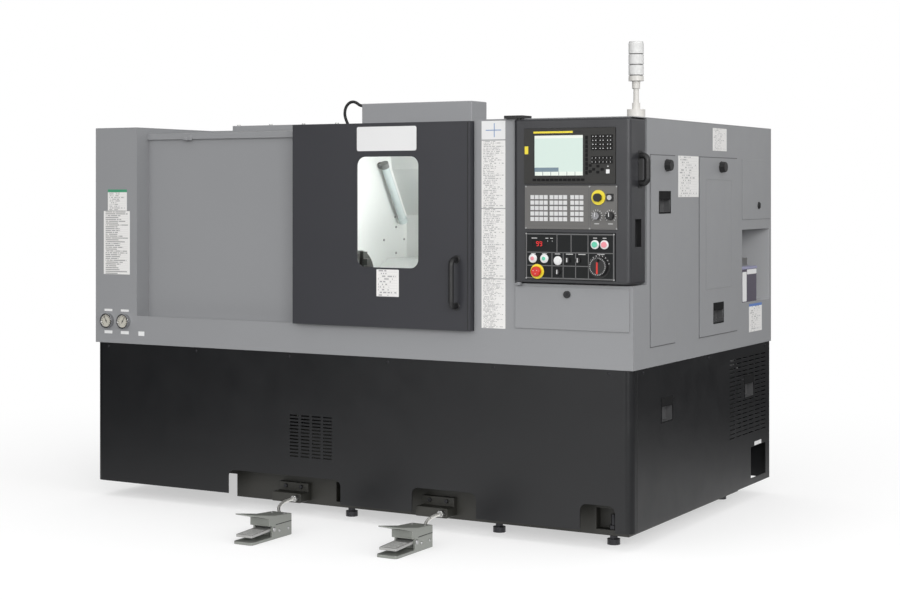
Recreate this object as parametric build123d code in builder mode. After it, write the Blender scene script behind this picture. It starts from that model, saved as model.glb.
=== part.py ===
from build123d import *
import os
from math import cos, pi, radians, sin, tan

# A slant-bed turning lathe: dark skirt, grey guard, sliding front door, swivelling control pod.
# Millimetres, +Z up. The origin is on the floor at the middle of the whole machine's plan,
# foot switches included. +X runs from the chuck to the tailstock, the front faces -Y.

# Driving sizes of the machine
body_width = 2664
body_depth = 1581
floor_gap = 70
skirt_height = 630
guard_overhang = 6
sheet = 4
flange = 30
seam = 2
fit_gap = 0.3
running_gap = 0.05
overrun = 20
pedal_reach = 604
pod_overhang = 4
pod_handle_reach = 42
spindle_height = 1019
headroom = 661
spindle_setback = 434
slant_angle = 45

# Planes of the body that the pieces share
right_x = (body_width + guard_overhang - pod_overhang - pod_handle_reach) / 2
left_x = right_x - body_width
front_y = (pedal_reach - body_depth - guard_overhang) / 2
rear_y = front_y + body_depth
skirt_top = floor_gap + skirt_height
guard_top = spindle_height + headroom
guard_left = left_x - guard_overhang
guard_right = right_x + guard_overhang
guard_rear = rear_y + guard_overhang
roof_under = guard_top - sheet
axis_y = front_y + spindle_setback
axis_z = spindle_height
spindle_axis = Axis((0, axis_y, axis_z), (1, 0, 0))

os.makedirs("parts", exist_ok=True)


def save(piece, name):
    """Label a finished piece and write it to its own file."""
    piece.part.label = name
    export_step(piece.part, f"parts/{name}.step")


def level(z):
    """A plan sketch at height z; a positive extrusion goes up."""
    return Plane.XY.offset(z)


def facing(y):
    """A front elevation sketch at depth y; a positive extrusion comes forward."""
    return Plane.XZ.offset(-y)


def across(x):
    """A side elevation sketch at x, drawn in Y and Z; a positive extrusion goes right."""
    return Plane.YZ.offset(x)


def slanted(x):
    """A section square to the spindle axis: x up the slant, y square to the bed's ways."""
    rise = radians(slant_angle)
    return Plane(origin=(x, axis_y, axis_z), x_dir=(0, cos(rise), sin(rise)), z_dir=(1, 0, 0))


def on_slant(along, above):
    """The Y and Z of a point of the slanted section, counted from the spindle axis."""
    rise = radians(slant_angle)
    return (axis_y + along * cos(rise) - above * sin(rise), axis_z + along * sin(rise) + above * cos(rise))


def polygon(plane, points):
    """A closed straight-sided face."""
    with BuildSketch(plane) as face:
        with BuildLine():
            Polyline(*points, close=True)
        make_face()
    return face.sketch


def turned(y, z, points):
    """Half of a turned section, in X and radius, about a line along X."""
    return polygon(Plane(origin=(0, y, z), x_dir=(1, 0, 0), z_dir=(0, -1, 0)), points)


def bar(u0, u1, v0, v1, mode=Mode.ADD):
    """A rectangle between two corners of the open sketch."""
    with Locations(((u0 + u1) / 2, (v0 + v1) / 2)):
        Rectangle(u1 - u0, v1 - v0, mode=mode)


def soft_bar(u0, u1, v0, v1, radius, mode=Mode.ADD):
    """A rectangle between two corners, with round corners."""
    with Locations(((u0 + u1) / 2, (v0 + v1) / 2)):
        RectangleRounded(u1 - u0, v1 - v0, radius, mode=mode)


def block(x0, x1, y0, y1, z0, z1, mode=Mode.ADD):
    """A square-edged body between two corners of the open part."""
    with Locations(((x0 + x1) / 2, (y0 + y1) / 2, (z0 + z1) / 2)):
        Box(x1 - x0, y1 - y0, z1 - z0, mode=mode)


# Bed casting: a hollow base with a slanted upper face, two box ways and the screw's end bearings.
drive_space = 714
bed_right_inset = 60
bed_clear = 37
bed_setback = 110
bed_depth = 1220
bed_drop = 250
bed_low = 240
bed_high = 330
bed_ledge_drop = 649
bed_rear_drop = 429
bed_shoulder_setback = 1040
casting_wall = 45
pocket_width = 130
pocket_height = 84
pocket_depth = 40
foot_plate = 22
foot_inset = 22
bolt_radius = 10
left_foot_inset = 1360
middle_foot_inset = 645
right_foot_inset = 135
way_height = 25
way_width = 90
front_way_along = -155
rear_way_along = 235
headstock_length = 310
ways_lead = 26
ways_right_inset = 120
screw_radius = 12
screw_along = 40
screw_lift = 12.5
bearing_half = 22
bearing_length = 26

bed_left = left_x + drive_space
bed_right = right_x - bed_right_inset
bed_front = front_y + bed_setback
bed_rear = bed_front + bed_depth
bed_ledge = axis_z - bed_ledge_drop
bed_shoulder = front_y + bed_shoulder_setback
bed_length = bed_right - bed_left
headstock_right = bed_left + headstock_length
ways_left = headstock_right + ways_lead
ways_right = right_x - ways_right_inset
bed_crest = on_slant(bed_high, -bed_drop)
bed_toe = on_slant(-bed_low, -bed_drop)
foot_columns = (right_x - left_foot_inset, right_x - middle_foot_inset, right_x - right_foot_inset)
foot_rows = (bed_front + foot_inset, bed_rear - foot_inset)
foot_places = [(x, y) for x in foot_columns for y in foot_rows]
foot_top = bed_clear + foot_plate
bed_outline = (
    (bed_front, bed_clear),
    (bed_rear, bed_clear),
    (bed_rear, axis_z - bed_rear_drop),
    (bed_shoulder, bed_crest[1]),
    bed_crest,
    bed_toe,
    (bed_toe[0], bed_ledge),
    (bed_front, bed_ledge),
)
with BuildPart() as bed_casting:
    extrude(polygon(across(bed_left), bed_outline), amount=bed_length)
    # Two cores, open underneath, with a rib between them
    core_length = (bed_length - 3 * casting_wall) / 2
    for core_left in (bed_left + casting_wall, bed_left + 2 * casting_wall + core_length):
        with BuildSketch(across(core_left)):
            with BuildLine():
                Polyline(*bed_outline, close=True)
            make_face()
            offset(amount=-casting_wall, kind=Kind.INTERSECTION, mode=Mode.REPLACE)
        extrude(amount=core_length, mode=Mode.SUBTRACT)
        block(core_left, core_left + core_length, bed_front + 2 * casting_wall, bed_rear - 2 * casting_wall,
              bed_clear - overrun, bed_clear + casting_wall + overrun, Mode.SUBTRACT)
    # Pockets above the foot plates, front and rear, and the levelling bolts' holes through the plates
    for foot_x in foot_columns:
        for pocket_y in (bed_front, bed_rear):
            block(foot_x - pocket_width / 2, foot_x + pocket_width / 2, pocket_y - pocket_depth,
                  pocket_y + pocket_depth, foot_top, foot_top + pocket_height, Mode.SUBTRACT)
    with BuildSketch(level(bed_clear)):
        with Locations(*foot_places):
            Circle(bolt_radius + fit_gap)
    extrude(amount=foot_plate, mode=Mode.SUBTRACT)
    # Box ways on the slant
    for way_along in (front_way_along, rear_way_along):
        with BuildSketch(slanted(ways_left)):
            bar(way_along - way_width / 2, way_along + way_width / 2, -bed_drop, way_height - bed_drop)
        extrude(amount=ways_right - ways_left)
    # End bearings of the long screw
    for bearing_x in (ways_left, ways_right - bearing_length):
        with BuildSketch(slanted(bearing_x)):
            bar(screw_along - bearing_half, screw_along + bearing_half, -bed_drop, 2 * screw_lift - bed_drop)
            with Locations((screw_along, screw_lift - bed_drop)):
                Circle(screw_radius + running_gap, mode=Mode.SUBTRACT)
        extrude(amount=bearing_length)
save(bed_casting, "bed_casting")

# Levelling feet: round pads, each with a bolt up through a foot plate and a nut below and above it.
pad_radius = 26
pad_height = 22
bolt_length = 118
nut_radius = 17
nut_height = 16
nut_sides = 6
with BuildPart() as levelling_feet:
    with BuildSketch(level(0)):
        with Locations(*foot_places):
            Circle(pad_radius)
    extrude(amount=pad_height)
    with BuildSketch(level(0)):
        with Locations(*foot_places):
            Circle(bolt_radius)
    extrude(amount=bolt_length)
    for nut_foot in (bed_clear - nut_height, foot_top):
        with BuildSketch(level(nut_foot)):
            with Locations(*foot_places):
                RegularPolygon(nut_radius, nut_sides)
        extrude(amount=nut_height)
save(levelling_feet, "levelling_feet")

# Front skirt: one folded sheet that wraps both front corners, with notches and a vent field.
skirt_corner_radius = 35
left_wrap = 120
right_wrap = 48
notch_height = 103
notch_radius = 28
left_notch_lead = 33
left_notch_width = 584
middle_notch_inset = 682
middle_notch_width = 301
right_notch_inset = 71
right_notch_width = 149
slot_height = 6
front_vent_inset = 1484
front_vent_rise = 275
front_slot_width = 44
front_slot_pitch = 57
slot_pitch = 14.5
front_vent_columns = 4
front_vent_rows = 13
notches = (
    (bed_left + left_notch_lead, left_notch_width),
    (right_x - middle_notch_inset - middle_notch_width, middle_notch_width),
    (right_x - right_notch_inset - right_notch_width, right_notch_width),
)
with BuildPart() as front_skirt:
    with BuildSketch(level(floor_gap)) as wrap:
        bar(left_x, right_x, front_y, front_y + left_wrap)
        fillet(wrap.vertices().group_by(Axis.Y)[0], skirt_corner_radius)
        with BuildSketch(mode=Mode.SUBTRACT) as inside:
            bar(left_x + sheet, right_x - sheet, front_y + sheet, front_y + left_wrap + overrun)
            fillet(inside.vertices().group_by(Axis.Y)[0], skirt_corner_radius - sheet)
        bar(right_x - overrun, right_x + overrun, front_y + right_wrap, front_y + left_wrap + overrun,
            Mode.SUBTRACT)
    extrude(amount=skirt_height)
    block(left_x + skirt_corner_radius, right_x - skirt_corner_radius, front_y + sheet, front_y + flange,
          skirt_top - sheet, skirt_top)
    with BuildSketch(facing(front_y)):
        for notch_left, notch_width in notches:
            soft_bar(notch_left, notch_left + notch_width, floor_gap - notch_height,
                     floor_gap + notch_height, notch_radius)
        with Locations((right_x - front_vent_inset, floor_gap + front_vent_rise)):
            with GridLocations(front_slot_pitch, slot_pitch, front_vent_columns, front_vent_rows):
                Rectangle(front_slot_width, slot_height)
    extrude(amount=overrun, both=True, mode=Mode.SUBTRACT)
save(front_skirt, "front_skirt")

# Flush pulls: a black cup let into a panel, with an overhanging finger lip along its top.
cup_depth = 32
cup_wall = 2
cup_lip_share = 0.35


def flush_pull(face_x, y, z, width, height):
    """Let a cup into a panel whose outer face is at face_x; its centre is at y and z."""
    low, high = z - height / 2, z + height / 2
    block(face_x - cup_depth, face_x, y - width / 2 - cup_wall, y + width / 2 + cup_wall,
          low - cup_wall, high + cup_wall)
    block(face_x - cup_depth + cup_wall, face_x + overrun, y - width / 2, y + width / 2,
          low, high, Mode.SUBTRACT)
    block(face_x - cup_wall, face_x, y - width / 2, y + width / 2, high - height * cup_lip_share, high)


# Right skirt: a flat sheet with louvres, two flush pulls and a cable opening at the rear.
side_vent_setback = 1296
side_vent_rise = 408
side_slot_width = 62
side_slot_pitch = 80
side_slot_rise_pitch = 19
side_vent_columns = 6
side_vent_rows = 19
pull_width = 110
pull_height = 90
front_pull_setback = 352
rear_pull_setback = 1309
skirt_pull_rise = 446
cable_gap_setback = 1332
cable_gap_width = 197
cable_gap_rise = 28
cable_gap_height = 142
cable_gap_radius = 6
with BuildPart() as right_skirt:
    with BuildSketch(across(right_x)):
        bar(front_y + right_wrap + seam, rear_y - sheet, floor_gap, skirt_top)
        soft_bar(front_y + cable_gap_setback, front_y + cable_gap_setback + cable_gap_width,
                 floor_gap + cable_gap_rise, floor_gap + cable_gap_rise + cable_gap_height, cable_gap_radius,
                 Mode.SUBTRACT)
        with Locations((front_y + side_vent_setback, floor_gap + side_vent_rise)):
            with GridLocations(side_slot_pitch, side_slot_rise_pitch, side_vent_columns, side_vent_rows):
                Rectangle(side_slot_width, slot_height, mode=Mode.SUBTRACT)
    extrude(amount=-sheet)
    block(right_x - flange, right_x - sheet, front_y + right_wrap + seam, rear_y - sheet,
          skirt_top - sheet, skirt_top)
    flush_pull(right_x, front_y + front_pull_setback, floor_gap + skirt_pull_rise, pull_width, pull_height)
    flush_pull(right_x, front_y + rear_pull_setback, floor_gap + skirt_pull_rise, pull_width, pull_height)
save(right_skirt, "right_skirt")

# Left and rear skirts: one sheet folded round the rear left corner.
with BuildPart() as back_skirts:
    left_start = front_y + left_wrap + seam
    block(left_x, left_x + sheet, left_start, rear_y - sheet, floor_gap, skirt_top)
    block(left_x, left_x + flange, left_start, rear_y - sheet, skirt_top - sheet, skirt_top)
    block(left_x, right_x, rear_y - sheet, rear_y, floor_gap, skirt_top)
    block(left_x + flange, right_x - flange, rear_y - flange, rear_y, skirt_top - sheet, skirt_top)
save(back_skirts, "back_skirts")

# Front guard: a left pillar, a sill under the door, the post and the bay that the pod swings out of.
pillar_width = 234
sill_height = 116
bay_depth = 86
roof_setback = 560
post_inset = 690
guide_height = 11.7
guide_width = 8
pod_width = 501
pod_rise = 332
pod_depth = 154
pod_front_reach = 28
pod_gap = 6
flap_width = 494
flap_height = 166
flap_inset = 8
flap_rise = 148
flap_sheet = 5
flap_lip = 20

pillar_right = left_x + pillar_width
sill_top = skirt_top + sill_height
post_left = right_x - post_inset
pod_left = right_x + pod_overhang - pod_width
pod_right = right_x + pod_overhang
pod_bottom = skirt_top + pod_rise
pod_top = guard_top - pod_gap
pod_front = front_y - pod_front_reach
pod_rear = pod_front + pod_depth
bay_back = pod_rear + pod_gap
bay_left = pod_left - pod_gap
bay_floor = pod_bottom - pod_gap
flap_left = right_x - flap_inset - flap_width
flap_bottom = skirt_top + flap_rise
with BuildPart() as front_guard:
    with BuildSketch(facing(front_y)):
        bar(guard_left, guard_right, skirt_top, roof_under)
        bar(pillar_right, post_left, sill_top, roof_under + overrun, Mode.SUBTRACT)
        bar(bay_left, guard_right + overrun, bay_floor, roof_under + overrun, Mode.SUBTRACT)
        bar(flap_left + flap_lip, flap_left + flap_width - flap_lip, flap_bottom + flap_lip,
            flap_bottom + flap_height - flap_lip, Mode.SUBTRACT)
    extrude(amount=-sheet)
    block(guard_left + sheet, guard_right - sheet, front_y, front_y + flange, skirt_top, skirt_top + sheet)
    # Folded returns of the slide bay
    block(pillar_right - sheet, pillar_right, front_y, front_y + roof_setback, sill_top - sheet, roof_under)
    block(pillar_right - sheet, post_left + sheet, front_y, front_y + bay_depth, sill_top - sheet, sill_top)
    block(post_left, post_left + sheet, front_y, front_y + bay_depth + sheet, sill_top - sheet, roof_under)
    # The rib that the door's lower edge runs on
    block(pillar_right, post_left, front_y, front_y + guide_width, sill_top, sill_top + guide_height)
    # Walls of the pod's bay
    block(bay_left - sheet, bay_left, front_y, bay_back + sheet, bay_floor - sheet, roof_under)
    block(bay_left - sheet, guard_right - sheet, bay_back, bay_back + sheet, bay_floor - sheet, roof_under)
    block(bay_left - sheet, guard_right - sheet, front_y, bay_back + sheet, bay_floor - sheet, bay_floor)
save(front_guard, "front_guard")

# Slide bay panel: a bent sheet behind the door's travel, with the work opening cut through it.
rail_drop = 55
rail_height = 27
rail_reach = 12
opening_side_lap = 46
opening_foot = 44
opening_head = 10
door_width = 864
door_seam = 2
roof_lap = 20

door_right = post_left - door_seam
door_left = door_right - door_width
opening_left = door_left + opening_side_lap
opening_right = door_right - opening_side_lap
bay_front = front_y + bay_depth
rail_bottom = guard_top - rail_drop
rail_top = rail_bottom + rail_height
slope_end = front_y + roof_setback
bay_section = (
    (bay_front, sill_top - sheet),
    (bay_front, rail_bottom),
    (bay_front - rail_reach, rail_bottom),
    (bay_front - rail_reach, rail_top),
    (slope_end, roof_under),
    (slope_end + roof_lap, roof_under),
    (slope_end + roof_lap, roof_under - sheet),
    (slope_end, roof_under - sheet),
    (bay_front - rail_reach + sheet, rail_top - sheet),
    (bay_front - rail_reach + sheet, rail_bottom + sheet),
    (bay_front + sheet, rail_bottom + sheet),
    (bay_front + sheet, sill_top - sheet),
)
with BuildPart() as slide_bay_panel:
    extrude(polygon(across(pillar_right), bay_section), amount=post_left - pillar_right)
    block(opening_left, opening_right, bay_front - sheet, bay_front + 2 * sheet, sill_top + opening_foot,
          rail_bottom - opening_head, Mode.SUBTRACT)
save(slide_bay_panel, "slide_bay_panel")

# Left and rear guards: flat sheets with a foot flange.
with BuildPart() as left_guard:
    block(guard_left, guard_left + sheet, front_y + sheet, guard_rear - sheet, skirt_top, roof_under)
    block(guard_left, left_x + flange, front_y + flange, guard_rear - sheet, skirt_top, skirt_top + sheet)
save(left_guard, "left_guard")

cabinet_lead = 414
cabinet_width = 1000
cabinet_rise = 60
cabinet_height = 740
cabinet_depth = 225
cabinet_lap = 20
cabinet_left = left_x + cabinet_lead
cabinet_right = cabinet_left + cabinet_width
cabinet_bottom = skirt_top + cabinet_rise
cabinet_top = cabinet_bottom + cabinet_height
with BuildPart() as rear_guard:
    with BuildSketch(facing(guard_rear)):
        bar(guard_left, guard_right, skirt_top, roof_under)
        bar(cabinet_left, cabinet_right, cabinet_bottom, cabinet_top, Mode.SUBTRACT)
    extrude(amount=sheet)
    block(left_x + flange, right_x - flange, rear_y - flange, guard_rear, skirt_top, skirt_top + sheet)
save(rear_guard, "rear_guard")

# Electrical cabinet: a closed case behind the rear guard, with its door flush in the guard.
with BuildPart() as electrical_cabinet:
    block(cabinet_left - cabinet_lap, cabinet_right + cabinet_lap, guard_rear - cabinet_depth,
          guard_rear - sheet, cabinet_bottom - cabinet_lap, cabinet_top + cabinet_lap)
    block(cabinet_left + seam, cabinet_right - seam, guard_rear - 2 * sheet, guard_rear,
          cabinet_bottom + seam, cabinet_top - seam)
save(electrical_cabinet, "electrical_cabinet")

# Right guard: a flat sheet with two access openings, a fixed hatch and the lubricator's niche.
cover_lap = 25
front_cover_setback = 166
front_cover_width = 253
rear_cover_setback = 686
rear_cover_width = 448
cover_rise = 80
cover_height = 753
cover_sheet = 4
niche_setback = 1202
niche_width = 358
niche_rise = 195
niche_height = 325
niche_depth = 210
hatch_setback = 1202
hatch_width = 365
hatch_rise = 565
hatch_height = 268
hatch_proud = 2
cover_bottom = skirt_top + cover_rise
cover_top = cover_bottom + cover_height
niche_front = front_y + niche_setback
niche_floor = skirt_top + niche_rise
covers = (
    (front_y + front_cover_setback, front_cover_width),
    (front_y + rear_cover_setback, rear_cover_width),
)
with BuildPart() as right_guard:
    with BuildSketch(across(guard_right)):
        bar(front_y + sheet, guard_rear - sheet, skirt_top, roof_under)
        bar(front_y, bay_back, bay_floor, roof_under + overrun, Mode.SUBTRACT)
        for cover_front, cover_width in covers:
            bar(cover_front + cover_lap, cover_front + cover_width - cover_lap, cover_bottom + cover_lap,
                cover_top - cover_lap, Mode.SUBTRACT)
    extrude(amount=-sheet)
    block(right_x - flange, guard_right, front_y + flange, guard_rear - sheet, skirt_top, skirt_top + sheet)
    block(guard_right - niche_depth - sheet, guard_right, niche_front - sheet,
          niche_front + niche_width + sheet, niche_floor - sheet, niche_floor + niche_height + sheet)
    block(guard_right - niche_depth, guard_right + overrun, niche_front, niche_front + niche_width,
          niche_floor, niche_floor + niche_height, Mode.SUBTRACT)
    block(guard_right, guard_right + hatch_proud, front_y + hatch_setback,
          front_y + hatch_setback + hatch_width, skirt_top + hatch_rise,
          skirt_top + hatch_rise + hatch_height)
save(right_guard, "right_guard")

# Access covers: lift-off plates with a turn knob near the top and a flush pull.
knob_radius = 25
knob_height = 24
knob_taper = 8
knob_sides = 8
knob_drop = 38
front_knob_setback = 322
front_pull_drop = 186
front_cover_pull_setback = 305
rear_knob_setback = 930
rear_pull_drop = 662
rear_cover_pull_setback = 901
cover_pull_height = 78
cover_outer = guard_right + cover_sheet


def access_cover(cover_front, cover_width, knob_y, pull_y, pull_drop):
    """A cover plate on the guard's outer face, with its knob and pull."""
    with BuildPart() as cover:
        block(guard_right, cover_outer, cover_front, cover_front + cover_width, cover_bottom, cover_top)
        flush_pull(cover_outer, pull_y, cover_top - pull_drop, pull_width, cover_pull_height)
        with BuildSketch(across(cover_outer)):
            with Locations((knob_y, cover_top - knob_drop)):
                RegularPolygon(knob_radius, knob_sides)
        extrude(amount=knob_height, taper=knob_taper)
    return cover


front_access_cover = access_cover(*covers[0], front_y + front_knob_setback,
                                  front_y + front_cover_pull_setback, front_pull_drop)
save(front_access_cover, "front_access_cover")
rear_access_cover = access_cover(*covers[1], front_y + rear_knob_setback,
                                 front_y + rear_cover_pull_setback, rear_pull_drop)
save(rear_access_cover, "rear_access_cover")

# Roof panel: one flat sheet, cut back over the slide bay, with a low bolted hatch.
roof_hatch_lead = 355
roof_hatch_width = 600
roof_hatch_depth = 420
roof_hatch_height = 22
roof_hatch_left = left_x + roof_hatch_lead
with BuildPart() as roof_panel:
    with BuildSketch(level(roof_under)):
        bar(guard_left, guard_right, front_y, guard_rear)
        bar(pillar_right, post_left, front_y - overrun, slope_end, Mode.SUBTRACT)
    extrude(amount=sheet)
    block(roof_hatch_left, roof_hatch_left + roof_hatch_width, slope_end, slope_end + roof_hatch_depth,
          guard_top, guard_top + roof_hatch_height)
save(roof_panel, "roof_panel")

# Roof box: a closed sheet case for the door lock's wiring, on the roof behind the door.
roof_box_gap = 128
roof_box_width = 572
roof_box_depth = 140
roof_box_height = 110
roof_box_radius = 4
roof_box_left = roof_hatch_left + roof_hatch_width + roof_box_gap
with BuildPart() as roof_box:
    block(roof_box_left, roof_box_left + roof_box_width, slope_end, slope_end + roof_box_depth,
          guard_top, guard_top + roof_box_height)
    fillet(roof_box.edges().filter_by(Axis.Z) + roof_box.faces().sort_by(Axis.Z)[-1].edges(), roof_box_radius)
save(roof_box, "roof_box")

# Inner cabin: a bent sheet behind and over the work space, two bulkheads and an inner front wall.
bulkhead_gap = 20
cabin_right_inset = 110
cabin_back_setback = 1027
cabin_knee_rise = 262
cabin_lean_setback = 892
cabin_lean_rise = 481
cabin_head_setback = 870
cabin_head_rise = 607
cabin_foot_drop = 459
cabin_front_gap = 8
bed_film = 3
nose_radius = 100
nose_gap = 12

cabin_left = headstock_right + bulkhead_gap
cabin_right = right_x - cabin_right_inset
cabin_back = front_y + cabin_back_setback
cabin_front = bay_front + sheet
cabin_inner_front = bay_back + sheet + cabin_front_gap
cabin_knee = axis_z + cabin_knee_rise
cabin_lean = front_y + cabin_lean_setback
cabin_lean_z = axis_z + cabin_lean_rise
cabin_head = front_y + cabin_head_setback
cabin_head_z = axis_z + cabin_head_rise
cabin_foot = axis_z - cabin_foot_drop


def bulkhead_outline(bulkhead_front):
    """The end wall's outline: the cabin's section above, the slanted bed below."""
    return (
        (bulkhead_front, cabin_foot),
        (bulkhead_front, cabin_head_z),
        (cabin_head, cabin_head_z),
        (cabin_lean, cabin_lean_z),
        (cabin_back, cabin_knee),
        (cabin_back, bed_crest[1]),
        (bed_crest[0], bed_crest[1]),
        on_slant(-bed_low, bed_film - bed_drop),
        (bed_toe[0] - casting_wall, cabin_foot),
    )


with BuildPart() as inner_cabin:
    lining = (
        (cabin_front, cabin_head_z),
        (cabin_head, cabin_head_z),
        (cabin_lean, cabin_lean_z),
        (cabin_back, cabin_knee),
        (cabin_back, bed_crest[1]),
        (cabin_back - sheet, bed_crest[1]),
        (cabin_back - sheet, cabin_knee - sheet),
        (cabin_lean - sheet, cabin_lean_z - sheet),
        (cabin_head - sheet, cabin_head_z - sheet),
        (cabin_front, cabin_head_z - sheet),
    )
    extrude(polygon(across(cabin_left), lining), amount=cabin_right - cabin_left)
    block(post_left + sheet, cabin_right + overrun, cabin_front - overrun, cabin_inner_front,
          cabin_head_z - overrun, cabin_head_z + overrun, Mode.SUBTRACT)
    with BuildSketch(across(cabin_left - sheet)):
        with BuildLine():
            Polyline(*bulkhead_outline(cabin_front), close=True)
        make_face()
        with Locations((axis_y, axis_z)):
            Circle(nose_radius + nose_gap, mode=Mode.SUBTRACT)
    extrude(amount=sheet)
    extrude(polygon(across(cabin_right), bulkhead_outline(cabin_inner_front)), amount=sheet)
    block(post_left, cabin_right, cabin_inner_front, cabin_inner_front + sheet, cabin_foot, cabin_head_z)
    block(post_left, post_left + sheet, cabin_front, cabin_inner_front, cabin_foot, cabin_head_z)
save(inner_cabin, "inner_cabin")

# Work light: a tube lamp on the left bulkhead, parallel to the leaning rear wall.
lamp_radius = 18
lamp_cap_radius = 21
lamp_cap_length = 24
lamp_low_setback = 943
lamp_low_rise = 225
lamp_high_setback = 763
lamp_high_rise = 503
lamp_clip_half = 10
lamp_x = cabin_left + lamp_cap_radius + lamp_clip_half
lamp_low = Vector(lamp_x, front_y + lamp_low_setback, axis_z + lamp_low_rise)
lamp_high = Vector(lamp_x, front_y + lamp_high_setback, axis_z + lamp_high_rise)
lamp_line = (lamp_high - lamp_low).normalized()
lamp_length = (lamp_high - lamp_low).length
lamp_base = Plane(origin=lamp_low, x_dir=(1, 0, 0), z_dir=lamp_line)
with BuildPart() as work_light:
    with BuildSketch(lamp_base):
        Circle(lamp_radius)
    extrude(amount=lamp_length)
    for cap_start in (0, lamp_length - lamp_cap_length):
        with BuildSketch(lamp_base.offset(cap_start)):
            Circle(lamp_cap_radius)
            bar(cabin_left - lamp_x, 0, -lamp_clip_half, lamp_clip_half)
        extrude(amount=lamp_cap_length)
save(work_light, "work_light")

# Headstock: a casting on the slanted bed, with a round housing bored for the spindle.
headstock_half = 220
headstock_foot = 55
headstock_radius = 150
spindle_radius = 70
with BuildPart() as headstock:
    with BuildSketch(slanted(bed_left)):
        with BuildLine():
            Polyline((-headstock_half, -bed_drop), (headstock_half, -bed_drop),
                     (headstock_half, headstock_foot - bed_drop), (headstock_radius, 0),
                     (-headstock_radius, 0), (-headstock_half, headstock_foot - bed_drop), close=True)
        make_face()
        Circle(headstock_radius)
        Circle(spindle_radius + running_gap, mode=Mode.SUBTRACT)
    extrude(amount=headstock_right - bed_left)
save(headstock, "headstock")

# Spindle: chucking cylinder, grooved pulley, shaft and nose flange, turned in one line.
nose_length = 36
nose_back_gap = 4
pulley_gap = 34
pulley_width = 80
spindle_pulley_radius = 110
pulley_rim = 6
cylinder_gap = 60
cylinder_radius = 95
cylinder_length = 200
neck_radius = 48
nose_right = headstock_right + nose_back_gap + nose_length
pulley_right = bed_left - pulley_gap
pulley_left = pulley_right - pulley_width
cylinder_right = pulley_left - cylinder_gap
cylinder_left = cylinder_right - cylinder_length


def rimmed(left, right, radius, rim):
    """The outline of a belt pulley between two flanges, in X and radius."""
    return ((left - rim, radius + 2 * rim), (left, radius + 2 * rim), (left, radius),
            (right, radius), (right, radius + 2 * rim), (right + rim, radius + 2 * rim))


with BuildPart() as spindle:
    revolve(turned(axis_y, axis_z, (
        (cylinder_left, 0), (cylinder_left, cylinder_radius), (cylinder_right, cylinder_radius),
        (cylinder_right, neck_radius), (pulley_left - pulley_rim, neck_radius),
        *rimmed(pulley_left, pulley_right, spindle_pulley_radius, pulley_rim),
        (pulley_right + pulley_rim, spindle_radius), (headstock_right + nose_back_gap, spindle_radius),
        (headstock_right + nose_back_gap, nose_radius), (nose_right, nose_radius), (nose_right, 0),
    )), axis=spindle_axis)
save(spindle, "spindle")

# Chuck: a three-jaw power chuck with radial slots, and three top jaws that slide in them.
chuck_radius = 107
chuck_length = 100
chuck_bore = 33
chuck_chamfer = 6
jaw_slot_half = 16
jaw_slot_depth = 22
jaw_reach = 38
jaw_inner = 42
jaw_step = 70
jaw_step_height = 18
jaw_outer = 102
jaw_angles = (90, 210, 330)
chuck_face = nose_right + chuck_length
with BuildPart() as chuck_body:
    with BuildSketch(across(nose_right)):
        with Locations((axis_y, axis_z)):
            Circle(chuck_radius)
            Circle(chuck_bore, mode=Mode.SUBTRACT)
    extrude(amount=chuck_length)
    chamfer(chuck_body.edges().filter_by(GeomType.CIRCLE).sort_by(SortBy.RADIUS)[-2:], chuck_chamfer)
    for jaw_angle in jaw_angles:
        with BuildSketch(Plane(origin=(chuck_face, axis_y, axis_z), x_dir=(0, 1, 0), z_dir=(1, 0, 0))):
            with Locations(Rotation(0, 0, jaw_angle)):
                bar(0, chuck_radius + overrun, -jaw_slot_half - running_gap, jaw_slot_half + running_gap)
        extrude(amount=-jaw_slot_depth, mode=Mode.SUBTRACT)
save(chuck_body, "chuck_body")

jaw_section = (
    (jaw_inner, fit_gap - jaw_slot_depth), (jaw_outer, fit_gap - jaw_slot_depth),
    (jaw_outer, jaw_step_height), (jaw_step, jaw_step_height), (jaw_step, jaw_reach), (jaw_inner, jaw_reach),
)
for jaw_number, jaw_angle in enumerate(jaw_angles, start=1):
    out_y, out_z = cos(radians(jaw_angle)), sin(radians(jaw_angle))
    jaw_plane = Plane(origin=(chuck_face, axis_y, axis_z), x_dir=(0, out_y, out_z), z_dir=(0, out_z, -out_y))
    with BuildPart() as chuck_jaw:
        extrude(polygon(jaw_plane, jaw_section), amount=jaw_slot_half, both=True)
    save(chuck_jaw, f"chuck_jaw_{jaw_number}")

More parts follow.
